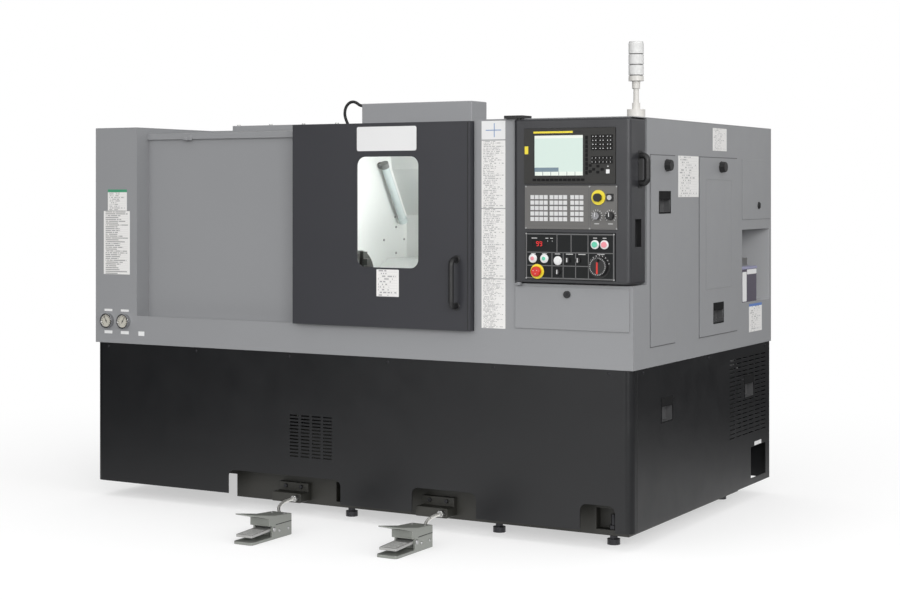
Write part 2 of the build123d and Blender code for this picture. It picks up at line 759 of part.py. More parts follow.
# Spindle motor: a finned square motor on a base plate that reaches back to the bed's left end.
motor_setback = 520
motor_rise = 160
motor_half = 130
motor_length = 460
motor_gap = 40
motor_base_height = 20
motor_shaft_radius = 24
motor_bore_depth = 60
fin_count = 7
fin_depth = 10
motor_pulley_radius = 80
motor_y = front_y + motor_setback
motor_z = floor_gap + motor_rise
motor_right = pulley_left - motor_gap
motor_left = motor_right - motor_length
motor_axis = Axis((0, motor_y, motor_z), (1, 0, 0))
with BuildPart() as spindle_motor:
    with BuildSketch(across(motor_left)):
        bar(motor_y - motor_half, motor_y + motor_half, motor_z - motor_half, motor_z + motor_half)
        fin_pitch = 2 * motor_half / fin_count
        for fin in range(fin_count):
            groove_z = motor_z - motor_half + (fin + 1 / 2) * fin_pitch
            for side in (motor_y - motor_half, motor_y + motor_half):
                bar(side - fin_depth, side + fin_depth, groove_z - fin_pitch / 4, groove_z + fin_pitch / 4,
                    Mode.SUBTRACT)
    extrude(amount=motor_length)
    block(motor_left, bed_left, motor_y - motor_half, motor_y + motor_half,
          motor_z - motor_half - motor_base_height, motor_z - motor_half)
    with BuildSketch(across(motor_right)):
        with Locations((motor_y, motor_z)):
            Circle(motor_shaft_radius + running_gap)
    extrude(amount=-motor_bore_depth, mode=Mode.SUBTRACT)
save(spindle_motor, "spindle_motor")

shaft_end = motor_right - motor_bore_depth + fit_gap
with BuildPart() as motor_pulley:
    revolve(turned(motor_y, motor_z, (
        (shaft_end, 0), (shaft_end, motor_shaft_radius), (pulley_left - pulley_rim, motor_shaft_radius),
        *rimmed(pulley_left, pulley_right, motor_pulley_radius, pulley_rim), (pulley_right + pulley_rim, 0),
    )), axis=motor_axis)
save(motor_pulley, "motor_pulley")

# Drive belt: an open loop round both pulleys.
belt_thickness = 8
with BuildPart() as drive_belt:
    with BuildSketch(across(pulley_left + seam)) as loop:
        with Locations((axis_y, axis_z)):
            Circle(spindle_pulley_radius + fit_gap)
        with Locations((motor_y, motor_z)):
            Circle(motor_pulley_radius + fit_gap)
        make_hull()
        offset(amount=belt_thickness, mode=Mode.ADD)
        with BuildSketch(mode=Mode.SUBTRACT) as hollow:
            with Locations((axis_y, axis_z)):
                Circle(spindle_pulley_radius + fit_gap)
            with Locations((motor_y, motor_z)):
                Circle(motor_pulley_radius + fit_gap)
            make_hull()
    extrude(amount=pulley_width - 2 * seam)
save(drive_belt, "drive_belt")

# Chip pan: an open tray on the bed's front ledge, under the work space.
pan_front_gap = 20
pan_height = 185
pan_end_gap = 10
pan_right_inset = 300
pan_back_gap = 12
pan_front = bed_front + pan_front_gap
pan_back = bed_toe[0] - pan_back_gap
pan_left = cabin_left + pan_end_gap
pan_right = right_x - pan_right_inset
with BuildPart() as chip_pan:
    block(pan_left, pan_right, pan_front, pan_back, bed_ledge, bed_ledge + pan_height)
    block(pan_left + sheet, pan_right - sheet, pan_front + sheet, pan_back - sheet, bed_ledge + sheet,
          bed_ledge + pan_height + overrun, Mode.SUBTRACT)
save(chip_pan, "chip_pan")

# Saddle: a plate on both ways with the screw's nut below and the turret's guide above.
saddle_left_inset = 1040
saddle_length = 320
saddle_low = 210
saddle_high = 290
saddle_thickness = 70
guide_left_margin = 60
cross_guide_length = 200
cross_guide_height = 25
nut_half = 20
nut_length = 120
saddle_left = right_x - saddle_left_inset
saddle_foot = way_height + fit_gap - bed_drop
saddle_face = saddle_foot + saddle_thickness
with BuildPart() as saddle:
    with BuildSketch(slanted(saddle_left)):
        bar(-saddle_low, saddle_high, saddle_foot, saddle_face)
    extrude(amount=saddle_length)
    with BuildSketch(slanted(saddle_left + guide_left_margin)):
        bar(-saddle_low, saddle_high, saddle_face, saddle_face + cross_guide_height)
    extrude(amount=cross_guide_length)
    with BuildSketch(slanted(saddle_left + (saddle_length - nut_length) / 2)):
        bar(screw_along - nut_half, screw_along + nut_half, fit_gap - bed_drop, saddle_foot)
        with Locations((screw_along, screw_lift - bed_drop)):
            Circle(screw_radius + running_gap, mode=Mode.SUBTRACT)
    extrude(amount=nut_length)
save(saddle, "saddle")

# Turret: a slide with the indexing head on it, and a twelve-sided disc with tool blocks.
turret_along = 330
turret_low = 130
turret_high = 150
turret_left_margin = 50
turret_length = 230
turret_top = 130
turret_slide_height = 70
disc_radius = 140
disc_thickness = 80
disc_sides = 12
hub_radius = 60
hub_height = 20
arbor_radius = 45
tool_width = 40
tool_reach = 45
tool_length = 60
turret_left = saddle_left + turret_left_margin
slide_foot = saddle_face + cross_guide_height + fit_gap
slide_toe = turret_along - turret_low - turret_slide_height
with BuildPart() as turret_slide:
    with BuildSketch(slanted(turret_left)) as head:
        with BuildLine():
            Polyline((slide_toe, slide_foot), (turret_along + turret_high, slide_foot),
                     (turret_along + turret_high, turret_top / 2),
                     (turret_along + turret_high / 2, turret_top),
                     (turret_along - turret_low / 2, turret_top),
                     (turret_along - turret_low, turret_top / 2),
                     (turret_along - turret_low, slide_foot + turret_slide_height),
                     (slide_toe, slide_foot + turret_slide_height), close=True)
        make_face()
        with Locations((turret_along, 0)):
            Circle(arbor_radius + running_gap, mode=Mode.SUBTRACT)
    extrude(amount=turret_length)
save(turret_slide, "turret_slide")

with BuildPart() as turret_disc:
    with BuildSketch(slanted(turret_left - disc_thickness - fit_gap)):
        with Locations((turret_along, 0)):
            RegularPolygon(disc_radius, disc_sides)
    extrude(amount=disc_thickness)
    with BuildSketch(slanted(turret_left - disc_thickness - fit_gap)):
        with Locations((turret_along, 0)):
            Circle(hub_radius)
    extrude(amount=-hub_height)
    with BuildSketch(slanted(turret_left - fit_gap)):
        with Locations((turret_along, 0)):
            Circle(arbor_radius)
    extrude(amount=turret_length)
    with BuildSketch(slanted(turret_left - disc_thickness - fit_gap)):
        with Locations((turret_along, 0)):
            with PolarLocations(disc_radius - tool_reach / 2, disc_sides // 2):
                Rectangle(2 * tool_reach, tool_width)
    extrude(amount=tool_length)
save(turret_disc, "turret_disc")

# Long screw: carried in the bed's end bearings, through the saddle's nut.
with BuildPart() as z_screw:
    with BuildSketch(slanted(ways_left)):
        with Locations((screw_along, screw_lift - bed_drop)):
            Circle(screw_radius)
    extrude(amount=ways_right - ways_left)
save(z_screw, "z_screw")

# Tailstock: a casting on both ways, bored for a sliding quill with a pointed centre.
tail_left_inset = 540
tail_length = 250
tail_foot = 40
tail_radius = 75
quill_radius = 40
quill_reach = 60
quill_back_gap = 20
centre_radius = 18
centre_length = 40
tail_left = right_x - tail_left_inset
tail_right = tail_left + tail_length
with BuildPart() as tailstock_body:
    with BuildSketch(slanted(tail_left)):
        with BuildLine():
            Polyline((-saddle_low, saddle_foot), (saddle_high, saddle_foot),
                     (saddle_high, saddle_foot + tail_foot), (tail_radius, 0), (-tail_radius, 0),
                     (-saddle_low, saddle_foot + tail_foot), close=True)
        make_face()
        Circle(tail_radius)
        Circle(quill_radius + running_gap, mode=Mode.SUBTRACT)
    extrude(amount=tail_length)
save(tailstock_body, "tailstock_body")

with BuildPart() as tailstock_quill:
    quill_left = tail_left - quill_reach
    revolve(turned(axis_y, axis_z, (
        (quill_left - centre_length, 0), (quill_left, centre_radius), (quill_left, quill_radius),
        (tail_right - quill_back_gap, quill_radius), (tail_right - quill_back_gap, 0),
    )), axis=spindle_axis)
save(tailstock_quill, "tailstock_quill")

# Sliding door: a dark folded tray that runs on the sill's rib, with a round-cornered window.
door_reach = 30
door_depth = 40
door_head_gap = 6
window_inset = 1082
window_rise = 605
window_width = 296
window_height = 459
window_radius = 38
window_lap = 18
pane_thickness = 8
door_bottom = sill_top + guide_height + fit_gap
door_top = guard_top - door_head_gap
door_front = front_y - door_reach
door_rear = door_front + door_depth
window_x = right_x - window_inset
window_z = skirt_top + window_rise
with BuildPart() as door_shell:
    block(door_left, door_right, door_front, door_rear, door_bottom, door_top)
    block(door_left + sheet, door_right - sheet, door_front + sheet, door_rear + overrun,
          door_bottom + sheet, door_top - sheet, Mode.SUBTRACT)
    with BuildSketch(facing(door_front)):
        with Locations((window_x, window_z)):
            RectangleRounded(window_width, window_height, window_radius)
    extrude(amount=overrun, both=True, mode=Mode.SUBTRACT)
save(door_shell, "door_shell")

with BuildPart() as door_window:
    with BuildSketch(facing(door_front + sheet)):
        with Locations((window_x, window_z)):
            RectangleRounded(window_width + 2 * window_lap, window_height + 2 * window_lap,
                             window_radius + window_lap)
    extrude(amount=-pane_thickness)
save(door_window, "door_window")


def bow_handle(start, out, along, reach, length, radius, bend):
    """A round bar that leaves a face, runs parallel to it and comes back."""
    foot = Vector(*start)
    lift = Vector(*out) * reach
    run = Vector(*along) * length
    with BuildPart() as bow:
        with BuildLine() as path:
            FilletPolyline(foot, foot + lift, foot + lift + run, foot + run, radius=bend)
        with BuildSketch(Plane(origin=foot, z_dir=out)):
            Circle(radius)
        sweep(path=path.line)
    return bow


handle_inset = 755
handle_rise = 226
handle_length = 190
handle_reach = 45
handle_radius = 11
handle_bend = 24
door_handle = bow_handle((right_x - handle_inset, door_front, skirt_top + handle_rise), (0, -1, 0), (0, 0, 1),
                         handle_reach, handle_length, handle_radius, handle_bend)
save(door_handle, "door_handle")

# Drawer flap: a plate hinged along its lower edge under the pod, with a round lock near its top.
lock_inset = 272
lock_rise = 287
lock_radius = 14
lock_height = 8
with BuildPart() as drawer_flap:
    block(flap_left, flap_left + flap_width, front_y - flap_sheet, front_y, flap_bottom,
          flap_bottom + flap_height)
    with BuildSketch(facing(front_y - flap_sheet)):
        with Locations((right_x - lock_inset, skirt_top + lock_rise)):
            Circle(lock_radius)
    extrude(amount=lock_height)
save(drawer_flap, "drawer_flap")

# Lubricator: an oil tank with a lid, an upright pump and a fitting with a filler cap, in the niche.
tank_margin = 4
tank_width = 212
tank_depth = 130
tank_height = 148
tank_radius = 14
tank_setin = 6
lid_height = 10
lid_lap = 3
pump_radius = 28
pump_height = 104
pump_across = 36
fitting_front = 72
fitting_width = 88
fitting_depth = 70
fitting_height = 38
filler_radius = 17
filler_height = 12
tank_right = guard_right - tank_setin
tank_front = niche_front + tank_margin
tank_middle = tank_right - tank_depth / 2
lid_top = niche_floor + tank_height + lid_height
with BuildPart() as lubricator:
    with BuildSketch(level(niche_floor)):
        soft_bar(tank_right - tank_depth, tank_right, tank_front, tank_front + tank_width, tank_radius)
    extrude(amount=tank_height)
    with BuildSketch(level(niche_floor + tank_height)):
        soft_bar(tank_right - tank_depth - lid_lap, tank_right + lid_lap, tank_front - lid_lap,
                 tank_front + tank_width + lid_lap, tank_radius + lid_lap)
    extrude(amount=lid_height)
    with BuildSketch(level(lid_top)):
        with Locations((tank_middle, tank_front + pump_across)):
            Circle(pump_radius)
    extrude(amount=pump_height)
    with BuildSketch(level(lid_top)):
        with Locations((tank_middle, tank_front + fitting_front + fitting_width / 2)):
            Rectangle(fitting_depth, fitting_width)
    extrude(amount=fitting_height)
    with BuildSketch(level(lid_top + fitting_height)):
        with Locations((tank_middle, tank_front + fitting_front + fitting_width / 2)):
            Circle(filler_radius)
    extrude(amount=filler_height)
save(lubricator, "lubricator")

# Pressure gauges: two round dials on the pillar, just above the skirt.
gauge_radius = 33
gauge_rim = 5
gauge_depth = 20
gauge_well = 4
left_gauge_lead = 69
right_gauge_lead = 165
gauge_rise = 101
gauge_z = skirt_top + gauge_rise
gauge_places = ((left_x + left_gauge_lead, gauge_z), (left_x + right_gauge_lead, gauge_z))
with BuildPart() as pressure_gauges:
    with BuildSketch(facing(front_y)):
        with Locations(*gauge_places):
            Circle(gauge_radius)
    extrude(amount=gauge_depth)
    with BuildSketch(facing(front_y - gauge_depth)):
        with Locations(*gauge_places):
            Circle(gauge_radius - gauge_rim)
    extrude(amount=-gauge_well, mode=Mode.SUBTRACT)
save(pressure_gauges, "pressure_gauges")

# Stack light: a stout foot, a slim pole between two collars and three clear tiers, on the roof's corner.
stack_inset = 60
stack_setback = 180
stack_foot_radius = 36
stack_foot_height = 34
collar_radius = 16
low_collar_height = 26
pole_radius = 11
pole_height = 56
high_collar_height = 30
lens_radius = 30
lens_body_height = 20
tier_height = 42
tier_groove = 4
tier_count = 3
cap_height = 10
cap_taper = 12
stack_x = right_x - stack_inset
stack_y = front_y + stack_setback
stack_axis = Axis((stack_x, stack_y, 0), (0, 0, 1))
stack_foot_top = guard_top + stack_foot_height
pole_foot = stack_foot_top + low_collar_height
pole_top = pole_foot + pole_height
lens_body_foot = pole_top + high_collar_height
lens_foot = lens_body_foot + lens_body_height
with BuildPart() as stack_light_post:
    revolve(polygon(facing(stack_y), (
        (stack_x, guard_top), (stack_x + stack_foot_radius, guard_top),
        (stack_x + stack_foot_radius, stack_foot_top), (stack_x + collar_radius, stack_foot_top),
        (stack_x + collar_radius, pole_foot), (stack_x + pole_radius, pole_foot),
        (stack_x + pole_radius, pole_top), (stack_x + collar_radius, pole_top),
        (stack_x + collar_radius, lens_body_foot), (stack_x + lens_radius, lens_body_foot),
        (stack_x + lens_radius, lens_foot), (stack_x, lens_foot),
    )), axis=stack_axis)
save(stack_light_post, "stack_light_post")

with BuildPart() as stack_light_lenses:
    for tier in range(tier_count):
        with BuildSketch(level(lens_foot + tier * tier_height)):
            with Locations((stack_x, stack_y)):
                Circle(lens_radius - tier_groove)
        extrude(amount=tier_groove)
        with BuildSketch(level(lens_foot + tier * tier_height + tier_groove)):
            with Locations((stack_x, stack_y)):
                Circle(lens_radius)
        extrude(amount=tier_height - tier_groove)
    with BuildSketch(level(lens_foot + tier_count * tier_height)):
        with Locations((stack_x, stack_y)):
            Circle(lens_radius)
    extrude(amount=cap_height, taper=cap_taper)
save(stack_light_lenses, "stack_light_lenses")

# Pod hinge: a cap on the roof and a bracket under the pod, each with an upright pin.
hinge_inset = 16
hinge_setin = 18
pin_radius = 8
pin_engage = 30
hinge_cap_left = 62
hinge_cap_right = 20
hinge_cap_front = 12
hinge_cap_depth = 60
hinge_cap_height = 12
foot_half = 12
foot_thickness = 6
foot_reach = 12
washer_radius = 11
hinge_x = pod_left + hinge_inset
hinge_y = pod_front + hinge_setin
with BuildPart() as pod_hinge:
    block(hinge_x - hinge_cap_left, hinge_x + hinge_cap_right, hinge_y - hinge_cap_front,
          front_y + hinge_cap_depth, guard_top, guard_top + hinge_cap_height)
    with BuildSketch(level(guard_top)):
        with Locations((hinge_x, hinge_y)):
            Circle(pin_radius)
    extrude(amount=-pod_gap - pin_engage)
    block(hinge_x - foot_half, hinge_x + foot_half, hinge_y - foot_reach, front_y,
          bay_floor - foot_thickness, bay_floor)
    with BuildSketch(level(bay_floor)):
        with Locations((hinge_x, hinge_y)):
            Circle(washer_radius)
    extrude(amount=pod_gap - fit_gap)
    with BuildSketch(level(bay_floor)):
        with Locations((hinge_x, hinge_y)):
            Circle(pin_radius)
    extrude(amount=pod_bottom + pin_engage - bay_floor)
save(pod_hinge, "pod_hinge")

# Pod: a folded case on its hinge, with three panels let into its front.
pod_wall = 4
pod_front_wall = 14
pod_front_radius = 16
pod_rear_radius = 10
pod_rim_radius = 9
panel_recess = 8
panel_proud = 4
panel_gap = 0.4
hinge_post = 36
display_inset = 55
display_rise = 720
display_width = 393
display_height = 217
keys_inset = 47
keys_rise = 543
keys_width = 397
keys_height = 170
operator_inset = 56
operator_rise = 345
operator_width = 387
operator_height = 184
port_setback = 23
port_rise = 475
port_width = 60
port_height = 108
port_depth = 24
panel_back = pod_front + panel_recess
panel_face = pod_front - panel_proud
panels = {
    "display_unit": (right_x - display_inset - display_width, skirt_top + display_rise, display_width,
                     display_height),
    "key_panel": (right_x - keys_inset - keys_width, skirt_top + keys_rise, keys_width, keys_height),
    "operator_panel": (right_x - operator_inset - operator_width, skirt_top + operator_rise, operator_width,
                       operator_height),
}
with BuildPart() as pod_shell:
    with BuildSketch(level(pod_bottom)) as plan:
        bar(pod_left, pod_right, pod_front, pod_rear)
        fillet(plan.vertices().group_by(Axis.Y)[0], pod_front_radius)
        fillet(plan.vertices().group_by(Axis.Y)[-1].sort_by(Axis.X)[-1], pod_rear_radius)
    extrude(amount=pod_top - pod_bottom)
    fillet(pod_shell.edges().filter_by(Axis.Y).group_by(Axis.X)[-1], pod_rim_radius)
    block(pod_left + pod_wall, pod_right - pod_wall, pod_front + pod_front_wall, pod_rear + overrun,
          pod_bottom + pod_wall, pod_top - pod_wall, Mode.SUBTRACT)
    # The upright post that the hinge pins turn in
    block(pod_left + pod_wall / 2, pod_left + hinge_post, pod_front + pod_front_wall / 2,
          pod_front + hinge_post, pod_bottom, pod_top)
    with BuildSketch(level(pod_bottom)):
        with Locations((hinge_x, hinge_y)):
            Circle(pin_radius + running_gap)
    extrude(amount=pod_top - pod_bottom, mode=Mode.SUBTRACT)
    # Seats of the three panels
    with BuildSketch(facing(pod_front)):
        for panel_left, panel_bottom, panel_width, panel_height in panels.values():
            bar(panel_left - panel_gap, panel_left + panel_width + panel_gap, panel_bottom - panel_gap,
                panel_bottom + panel_height + panel_gap)
    extrude(amount=-panel_recess, mode=Mode.SUBTRACT)
    # Port recess in the right wall
    port_y = front_y + port_setback
    port_z = skirt_top + port_rise
    block(pod_right - port_depth, pod_right - pod_wall / 2, port_y - pod_wall,
          port_y + port_width + pod_wall, port_z - pod_wall, port_z + port_height + pod_wall)
    block(pod_right - port_depth + pod_wall, pod_right + overrun, port_y, port_y + port_width,
          port_z, port_z + port_height, Mode.SUBTRACT)
save(pod_shell, "pod_shell")

grab_setback = 72
grab_rise = 722
grab_length = 108
grab_radius = 12
grab_bend = 20
pod_handle = bow_handle((pod_right, front_y + grab_setback, skirt_top + grab_rise), (1, 0, 0), (0, 0, 1),
                        pod_handle_reach - grab_radius, grab_length, grab_radius, grab_bend)
save(pod_handle, "pod_handle")


def panel_plate(name):
    """The plate of one panel, in its seat, added to the open part."""
    panel_left, panel_bottom, panel_width, panel_height = panels[name]
    block(panel_left, panel_left + panel_width, panel_face, panel_back, panel_bottom,
          panel_bottom + panel_height)


# Display unit: a plate with a sunk screen, soft keys round it and a block of small keys.
screen_left = 45
screen_rise = 32
screen_width = 211
screen_height = 158
screen_depth = 2
key_height = 2.5
soft_key_width = 14
soft_key_height = 9
soft_key_pitch = 19
soft_key_count = 12
soft_key_rise = 16
side_key_left = 272
side_key_pitch = 17
side_key_count = 9
letter_key = 12
letter_left = 337
letter_pitch = 15.5
letter_columns = 6
letter_rows = 4
letter_rise = 160
page_rise = 92
page_rows = 2
display_left, display_bottom = panels["display_unit"][:2]
with BuildPart() as display_unit:
    panel_plate("display_unit")
    with BuildSketch(facing(panel_face)):
        bar(display_left + screen_left, display_left + screen_left + screen_width,
            display_bottom + screen_rise, display_bottom + screen_rise + screen_height)
    extrude(amount=-screen_depth, mode=Mode.SUBTRACT)
    with BuildSketch(facing(panel_face)):
        with Locations((display_left + screen_left + screen_width / 2, display_bottom + soft_key_rise)):
            with GridLocations(soft_key_pitch, soft_key_pitch, soft_key_count, 1):
                Rectangle(soft_key_width, soft_key_height)
        with Locations((display_left + side_key_left, display_bottom + screen_rise + screen_height / 2)):
            with GridLocations(side_key_pitch, side_key_pitch, 1, side_key_count):
                Rectangle(soft_key_height, soft_key_width)
        with Locations((display_left + letter_left, display_bottom + letter_rise)):
            with GridLocations(letter_pitch, letter_pitch, letter_columns, letter_rows):
                Rectangle(letter_key, letter_key)
        with Locations((display_left + letter_left, display_bottom + page_rise)):
            with GridLocations(letter_pitch, letter_pitch, letter_columns, page_rows):
                Rectangle(letter_key, letter_key)
    extrude(amount=key_height)
save(display_unit, "display_unit")

# Key panel: a plate with a grid of square keys, a ringed knob, a key switch and two dial seats.
push_key = 16
push_pitch = 19.6
push_row_pitch = 21.5
push_rows = 5
push_rise = 82
left_keys_left = 63
middle_keys_left = 147
right_keys_left = 227
wide_columns = 4
narrow_columns = 3
ring_left = 319
ring_rise = 124
ring_radius = 29
ring_height = 5
ring_knob_radius = 16
ring_knob_height = 14
key_switch_left = 367
key_switch_radius = 10
key_switch_height = 9
feed_dial_left = 311
spindle_dial_left = 369
dial_rise = 53
dial_shaft_radius = 5
shaft_engage = 6
keys_left, keys_bottom = panels["key_panel"][:2]
key_groups = (
    (left_keys_left, wide_columns),
    (middle_keys_left, wide_columns),
    (right_keys_left, narrow_columns),
)
feed_dial = (keys_left + feed_dial_left, keys_bottom + dial_rise)
spindle_dial = (keys_left + spindle_dial_left, keys_bottom + dial_rise)
with BuildPart() as key_panel:
    panel_plate("key_panel")
    with BuildSketch(facing(panel_face)):
        for group_left, columns in key_groups:
            with Locations((keys_left + group_left, keys_bottom + push_rise)):
                with GridLocations(push_pitch, push_row_pitch, columns, push_rows):
                    Rectangle(push_key, push_key)
    extrude(amount=key_height)
    with BuildSketch(facing(panel_face)):
        with Locations((keys_left + ring_left, keys_bottom + ring_rise)):
            Circle(ring_radius)
    extrude(amount=ring_height)
    with BuildSketch(facing(panel_face - ring_height)):
        with Locations((keys_left + ring_left, keys_bottom + ring_rise)):
            Circle(ring_knob_radius)
    extrude(amount=ring_knob_height)
    with BuildSketch(facing(panel_face)):
        with Locations((keys_left + key_switch_left, keys_bottom + ring_rise)):
            Circle(key_switch_radius)
    extrude(amount=key_switch_height)
    with BuildSketch(facing(panel_face)):
        with Locations(feed_dial, spindle_dial):
            Circle(dial_shaft_radius + running_gap)
    extrude(amount=-shaft_engage - seam, mode=Mode.SUBTRACT)
save(key_panel, "key_panel")

# Override dials: fluted knobs with a pointer ridge, on a short shaft.
dial_radius = 16
dial_height = 15
dial_taper = 6
pointer_width = 4
pointer_height = 3


def override_dial(place):
    """A round knob at a place on the key panel's face, standing one fit gap off it."""
    with BuildPart() as dial:
        with BuildSketch(facing(panel_face + shaft_engage)):
            with Locations(place):
                Circle(dial_shaft_radius)
        extrude(amount=shaft_engage + fit_gap)
        with BuildSketch(facing(panel_face - fit_gap)):
            with Locations(place):
                Circle(dial_radius)
        extrude(amount=dial_height, taper=dial_taper)
        with BuildSketch(facing(panel_face - fit_gap - dial_height)):
            with Locations((place[0], place[1] + dial_radius / 3)):
                Rectangle(pointer_width, dial_radius)
        extrude(amount=pointer_height)
    return dial


save(override_dial(feed_dial), "feed_override_knob")
save(override_dial(spindle_dial), "spindle_override_knob")

# Operator panel: a black plate with lamps, selectors, and the bores of the buttons and the handwheel.
lamp_button_radius = 11
collar_rim = 3
button_collar_height = 4
start_left = 303
hold_left = 343
button_rise = 140
stop_left = 54
stop_rise = 31
stop_collar_radius = 29
stop_collar_height = 3
stop_shaft_radius = 11
wheel_left = 322
wheel_rise = 56
wheel_shaft_radius = 9
wheel_base_radius = 46
wheel_base_height = 2
on_lamp_left = 35
off_lamp_left = 85
lamp_rise = 82
lamp_height = 8
white_button_left = 144
white_button_rise = 75
selector_left = 187
second_selector_left = 232
low_selector_left = 144
selector_rise = 78
low_selector_rise = 31
selector_radius = 10
selector_height = 9
readout_left = 62
readout_width = 62
readout_height = 24
operator_left, operator_bottom = panels["operator_panel"][:2]
start_place = (operator_left + start_left, operator_bottom + button_rise)
hold_place = (operator_left + hold_left, operator_bottom + button_rise)
stop_place = (operator_left + stop_left, operator_bottom + stop_rise)
wheel_place = (operator_left + wheel_left, operator_bottom + wheel_rise)
with BuildPart() as operator_panel:
    panel_plate("operator_panel")
    with BuildSketch(facing(panel_face)):
        with Locations(start_place, hold_place):
            Circle(lamp_button_radius + collar_rim)
    extrude(amount=button_collar_height)
    with BuildSketch(facing(panel_face)):
        with Locations(stop_place):
            Circle(stop_collar_radius)
    extrude(amount=stop_collar_height)
    with BuildSketch(facing(panel_face)):
        with Locations(wheel_place):
            Circle(wheel_base_radius)
    extrude(amount=wheel_base_height)
    with BuildSketch(facing(panel_face)):
        with Locations((operator_left + on_lamp_left, operator_bottom + lamp_rise),
                       (operator_left + off_lamp_left, operator_bottom + lamp_rise),
                       (operator_left + white_button_left, operator_bottom + white_button_rise)):
            Circle(lamp_button_radius)
    extrude(amount=lamp_height)
    with BuildSketch(facing(panel_face)):
        with Locations((operator_left + selector_left, operator_bottom + selector_rise),
                       (operator_left + second_selector_left, operator_bottom + selector_rise),
                       (operator_left + low_selector_left, operator_bottom + low_selector_rise)):
            Circle(selector_radius)
    extrude(amount=selector_height)
    with BuildSketch(facing(panel_face)):
        with Locations((operator_left + readout_left, operator_bottom + button_rise)):
            Rectangle(readout_width, readout_height)
    extrude(amount=-screen_depth, mode=Mode.SUBTRACT)
    with BuildSketch(facing(panel_back)):
        with Locations(start_place, hold_place):
            Circle(lamp_button_radius + running_gap)
        with Locations(stop_place):
            Circle(stop_shaft_radius + running_gap)
        with Locations(wheel_place):
            Circle(wheel_shaft_radius + running_gap)
    extrude(amount=panel_recess + panel_proud + overrun, mode=Mode.SUBTRACT)
save(operator_panel, "operator_panel")

button_proud = 9
for button_name, button_place in (("cycle_start_button", start_place), ("feed_hold_button", hold_place)):
    with BuildPart() as push_button:
        with BuildSketch(facing(panel_face + shaft_engage)):
            with Locations(button_place):
                Circle(lamp_button_radius)
        extrude(amount=shaft_engage + button_proud)
    save(push_button, button_name)

stop_head_radius = 20
stop_head_height = 14
stop_head_gap = 8
stop_head_round = 5
with BuildPart() as emergency_stop:
    with BuildSketch(facing(panel_face + shaft_engage)):
        with Locations(stop_place):
            Circle(stop_shaft_radius)
    extrude(amount=shaft_engage + stop_head_gap)
    with BuildSketch(facing(panel_face - stop_head_gap)):
        with Locations(stop_place):
            Circle(stop_head_radius)
    extrude(amount=stop_head_height)
    fillet(emergency_stop.edges().filter_by(GeomType.CIRCLE).sort_by(Axis.Y)[0], stop_head_round)
save(emergency_stop, "emergency_stop")

wheel_radius = 38
wheel_height = 18
wheel_taper = 5
crank_offset = 25
crank_radius = 7
crank_height = 16
with BuildPart() as handwheel:
    with BuildSketch(facing(panel_face + shaft_engage)):
        with Locations(wheel_place):
            Circle(wheel_shaft_radius)
    extrude(amount=shaft_engage + wheel_base_height + fit_gap)
    with BuildSketch(facing(panel_face - wheel_base_height - fit_gap)):
        with Locations(wheel_place):
            Circle(wheel_radius)
    extrude(amount=wheel_height, taper=wheel_taper)
    with BuildSketch(facing(panel_face - wheel_base_height - fit_gap - wheel_height)):
        with Locations((wheel_place[0], wheel_place[1] + crank_offset)):
            Circle(crank_radius)
    extrude(amount=crank_height)
save(handwheel, "handwheel")


# Conduits: each arc takes this share of the shorter run beside it.
arc_run_share = 0.45
conduit_radius = 7


def conduit(route, radius):
    """A tube along straight runs and tangent arcs, each arc as large as its two runs allow."""
    corners = [Vector(*point) for point in route]
    bends = []
    for before, here, after in zip(corners, corners[1:], corners[2:]):
        turn = (here - before).get_angle(after - here)
        shorter = min((here - before).length, (after - here).length)
        bends.append(arc_run_share * shorter / tan(radians(turn) / 2))
    print("bend radii", [round(bend) for bend in bends])
    with BuildPart() as tube:
        with BuildLine() as path:
            FilletPolyline(*corners, radius=bends)
        with BuildSketch(Plane(origin=corners[0], z_dir=corners[1] - corners[0])):
            Circle(radius)
        sweep(path=path.line)
    print("tube volume over section times length",
          round(tube.part.volume / (pi * radius ** 2 * path.wire().length), 4))
    return tube


# Roof conduit: a short stiff arch from the roof box's left wall down into the roof.
arch_reach = 104
arch_rise = 122
arch_setback = 15
arch_shares = ((0, 0.83), (0.17, 0.83), (0.4, 0.98), (0.69, 1), (0.94, 0.81), (1, 0.52), (0.89, 0.26),
               (0.79, 0.13), (0.79, 0))
roof_route = [(roof_box_left - across_share * arch_reach, slope_end + arch_setback,
               guard_top + up_share * arch_rise) for across_share, up_share in arch_shares]
save(conduit(roof_route, conduit_radius), "roof_conduit")

# Foot switches: cast cases with a toe plate and a pointed visor, on flexible conduit from two boxes.
pedal_width = 92
pedal_length = 274
toe_height = 11
case_height = 86
case_length = 110
visor_height = 118
visor_thickness = 7
visor_setin = 10
ear_width = 8
ear_length = 26
ear_height = 56
hood_ahead = 46
pivot_radius = 4
pivot_ahead = 12
pivot_rise = 40
pedal_corner = 14
left_pedal_across = 230
right_pedal_inset = 776
left_bracket_lead = 320
right_bracket_inset = 907
right_pedal_reach = 540
pedal_gland_radius = 12
pedal_gland_length = 20
pedal_gland_rise = 45
treadle_thickness = 10
treadle_drop = 8
treadle_setin = 12
hub_half = 9
left_bracket_x = bed_left + left_bracket_lead
right_bracket_x = right_x - right_bracket_inset
left_pedal_x = left_bracket_x + left_pedal_across
right_pedal_x = right_x - right_pedal_inset
left_pedal_back = front_y - pedal_reach + pedal_length
right_pedal_back = front_y - right_pedal_reach + pedal_length
pedal_places = ((left_pedal_x, left_pedal_back), (right_pedal_x, right_pedal_back))
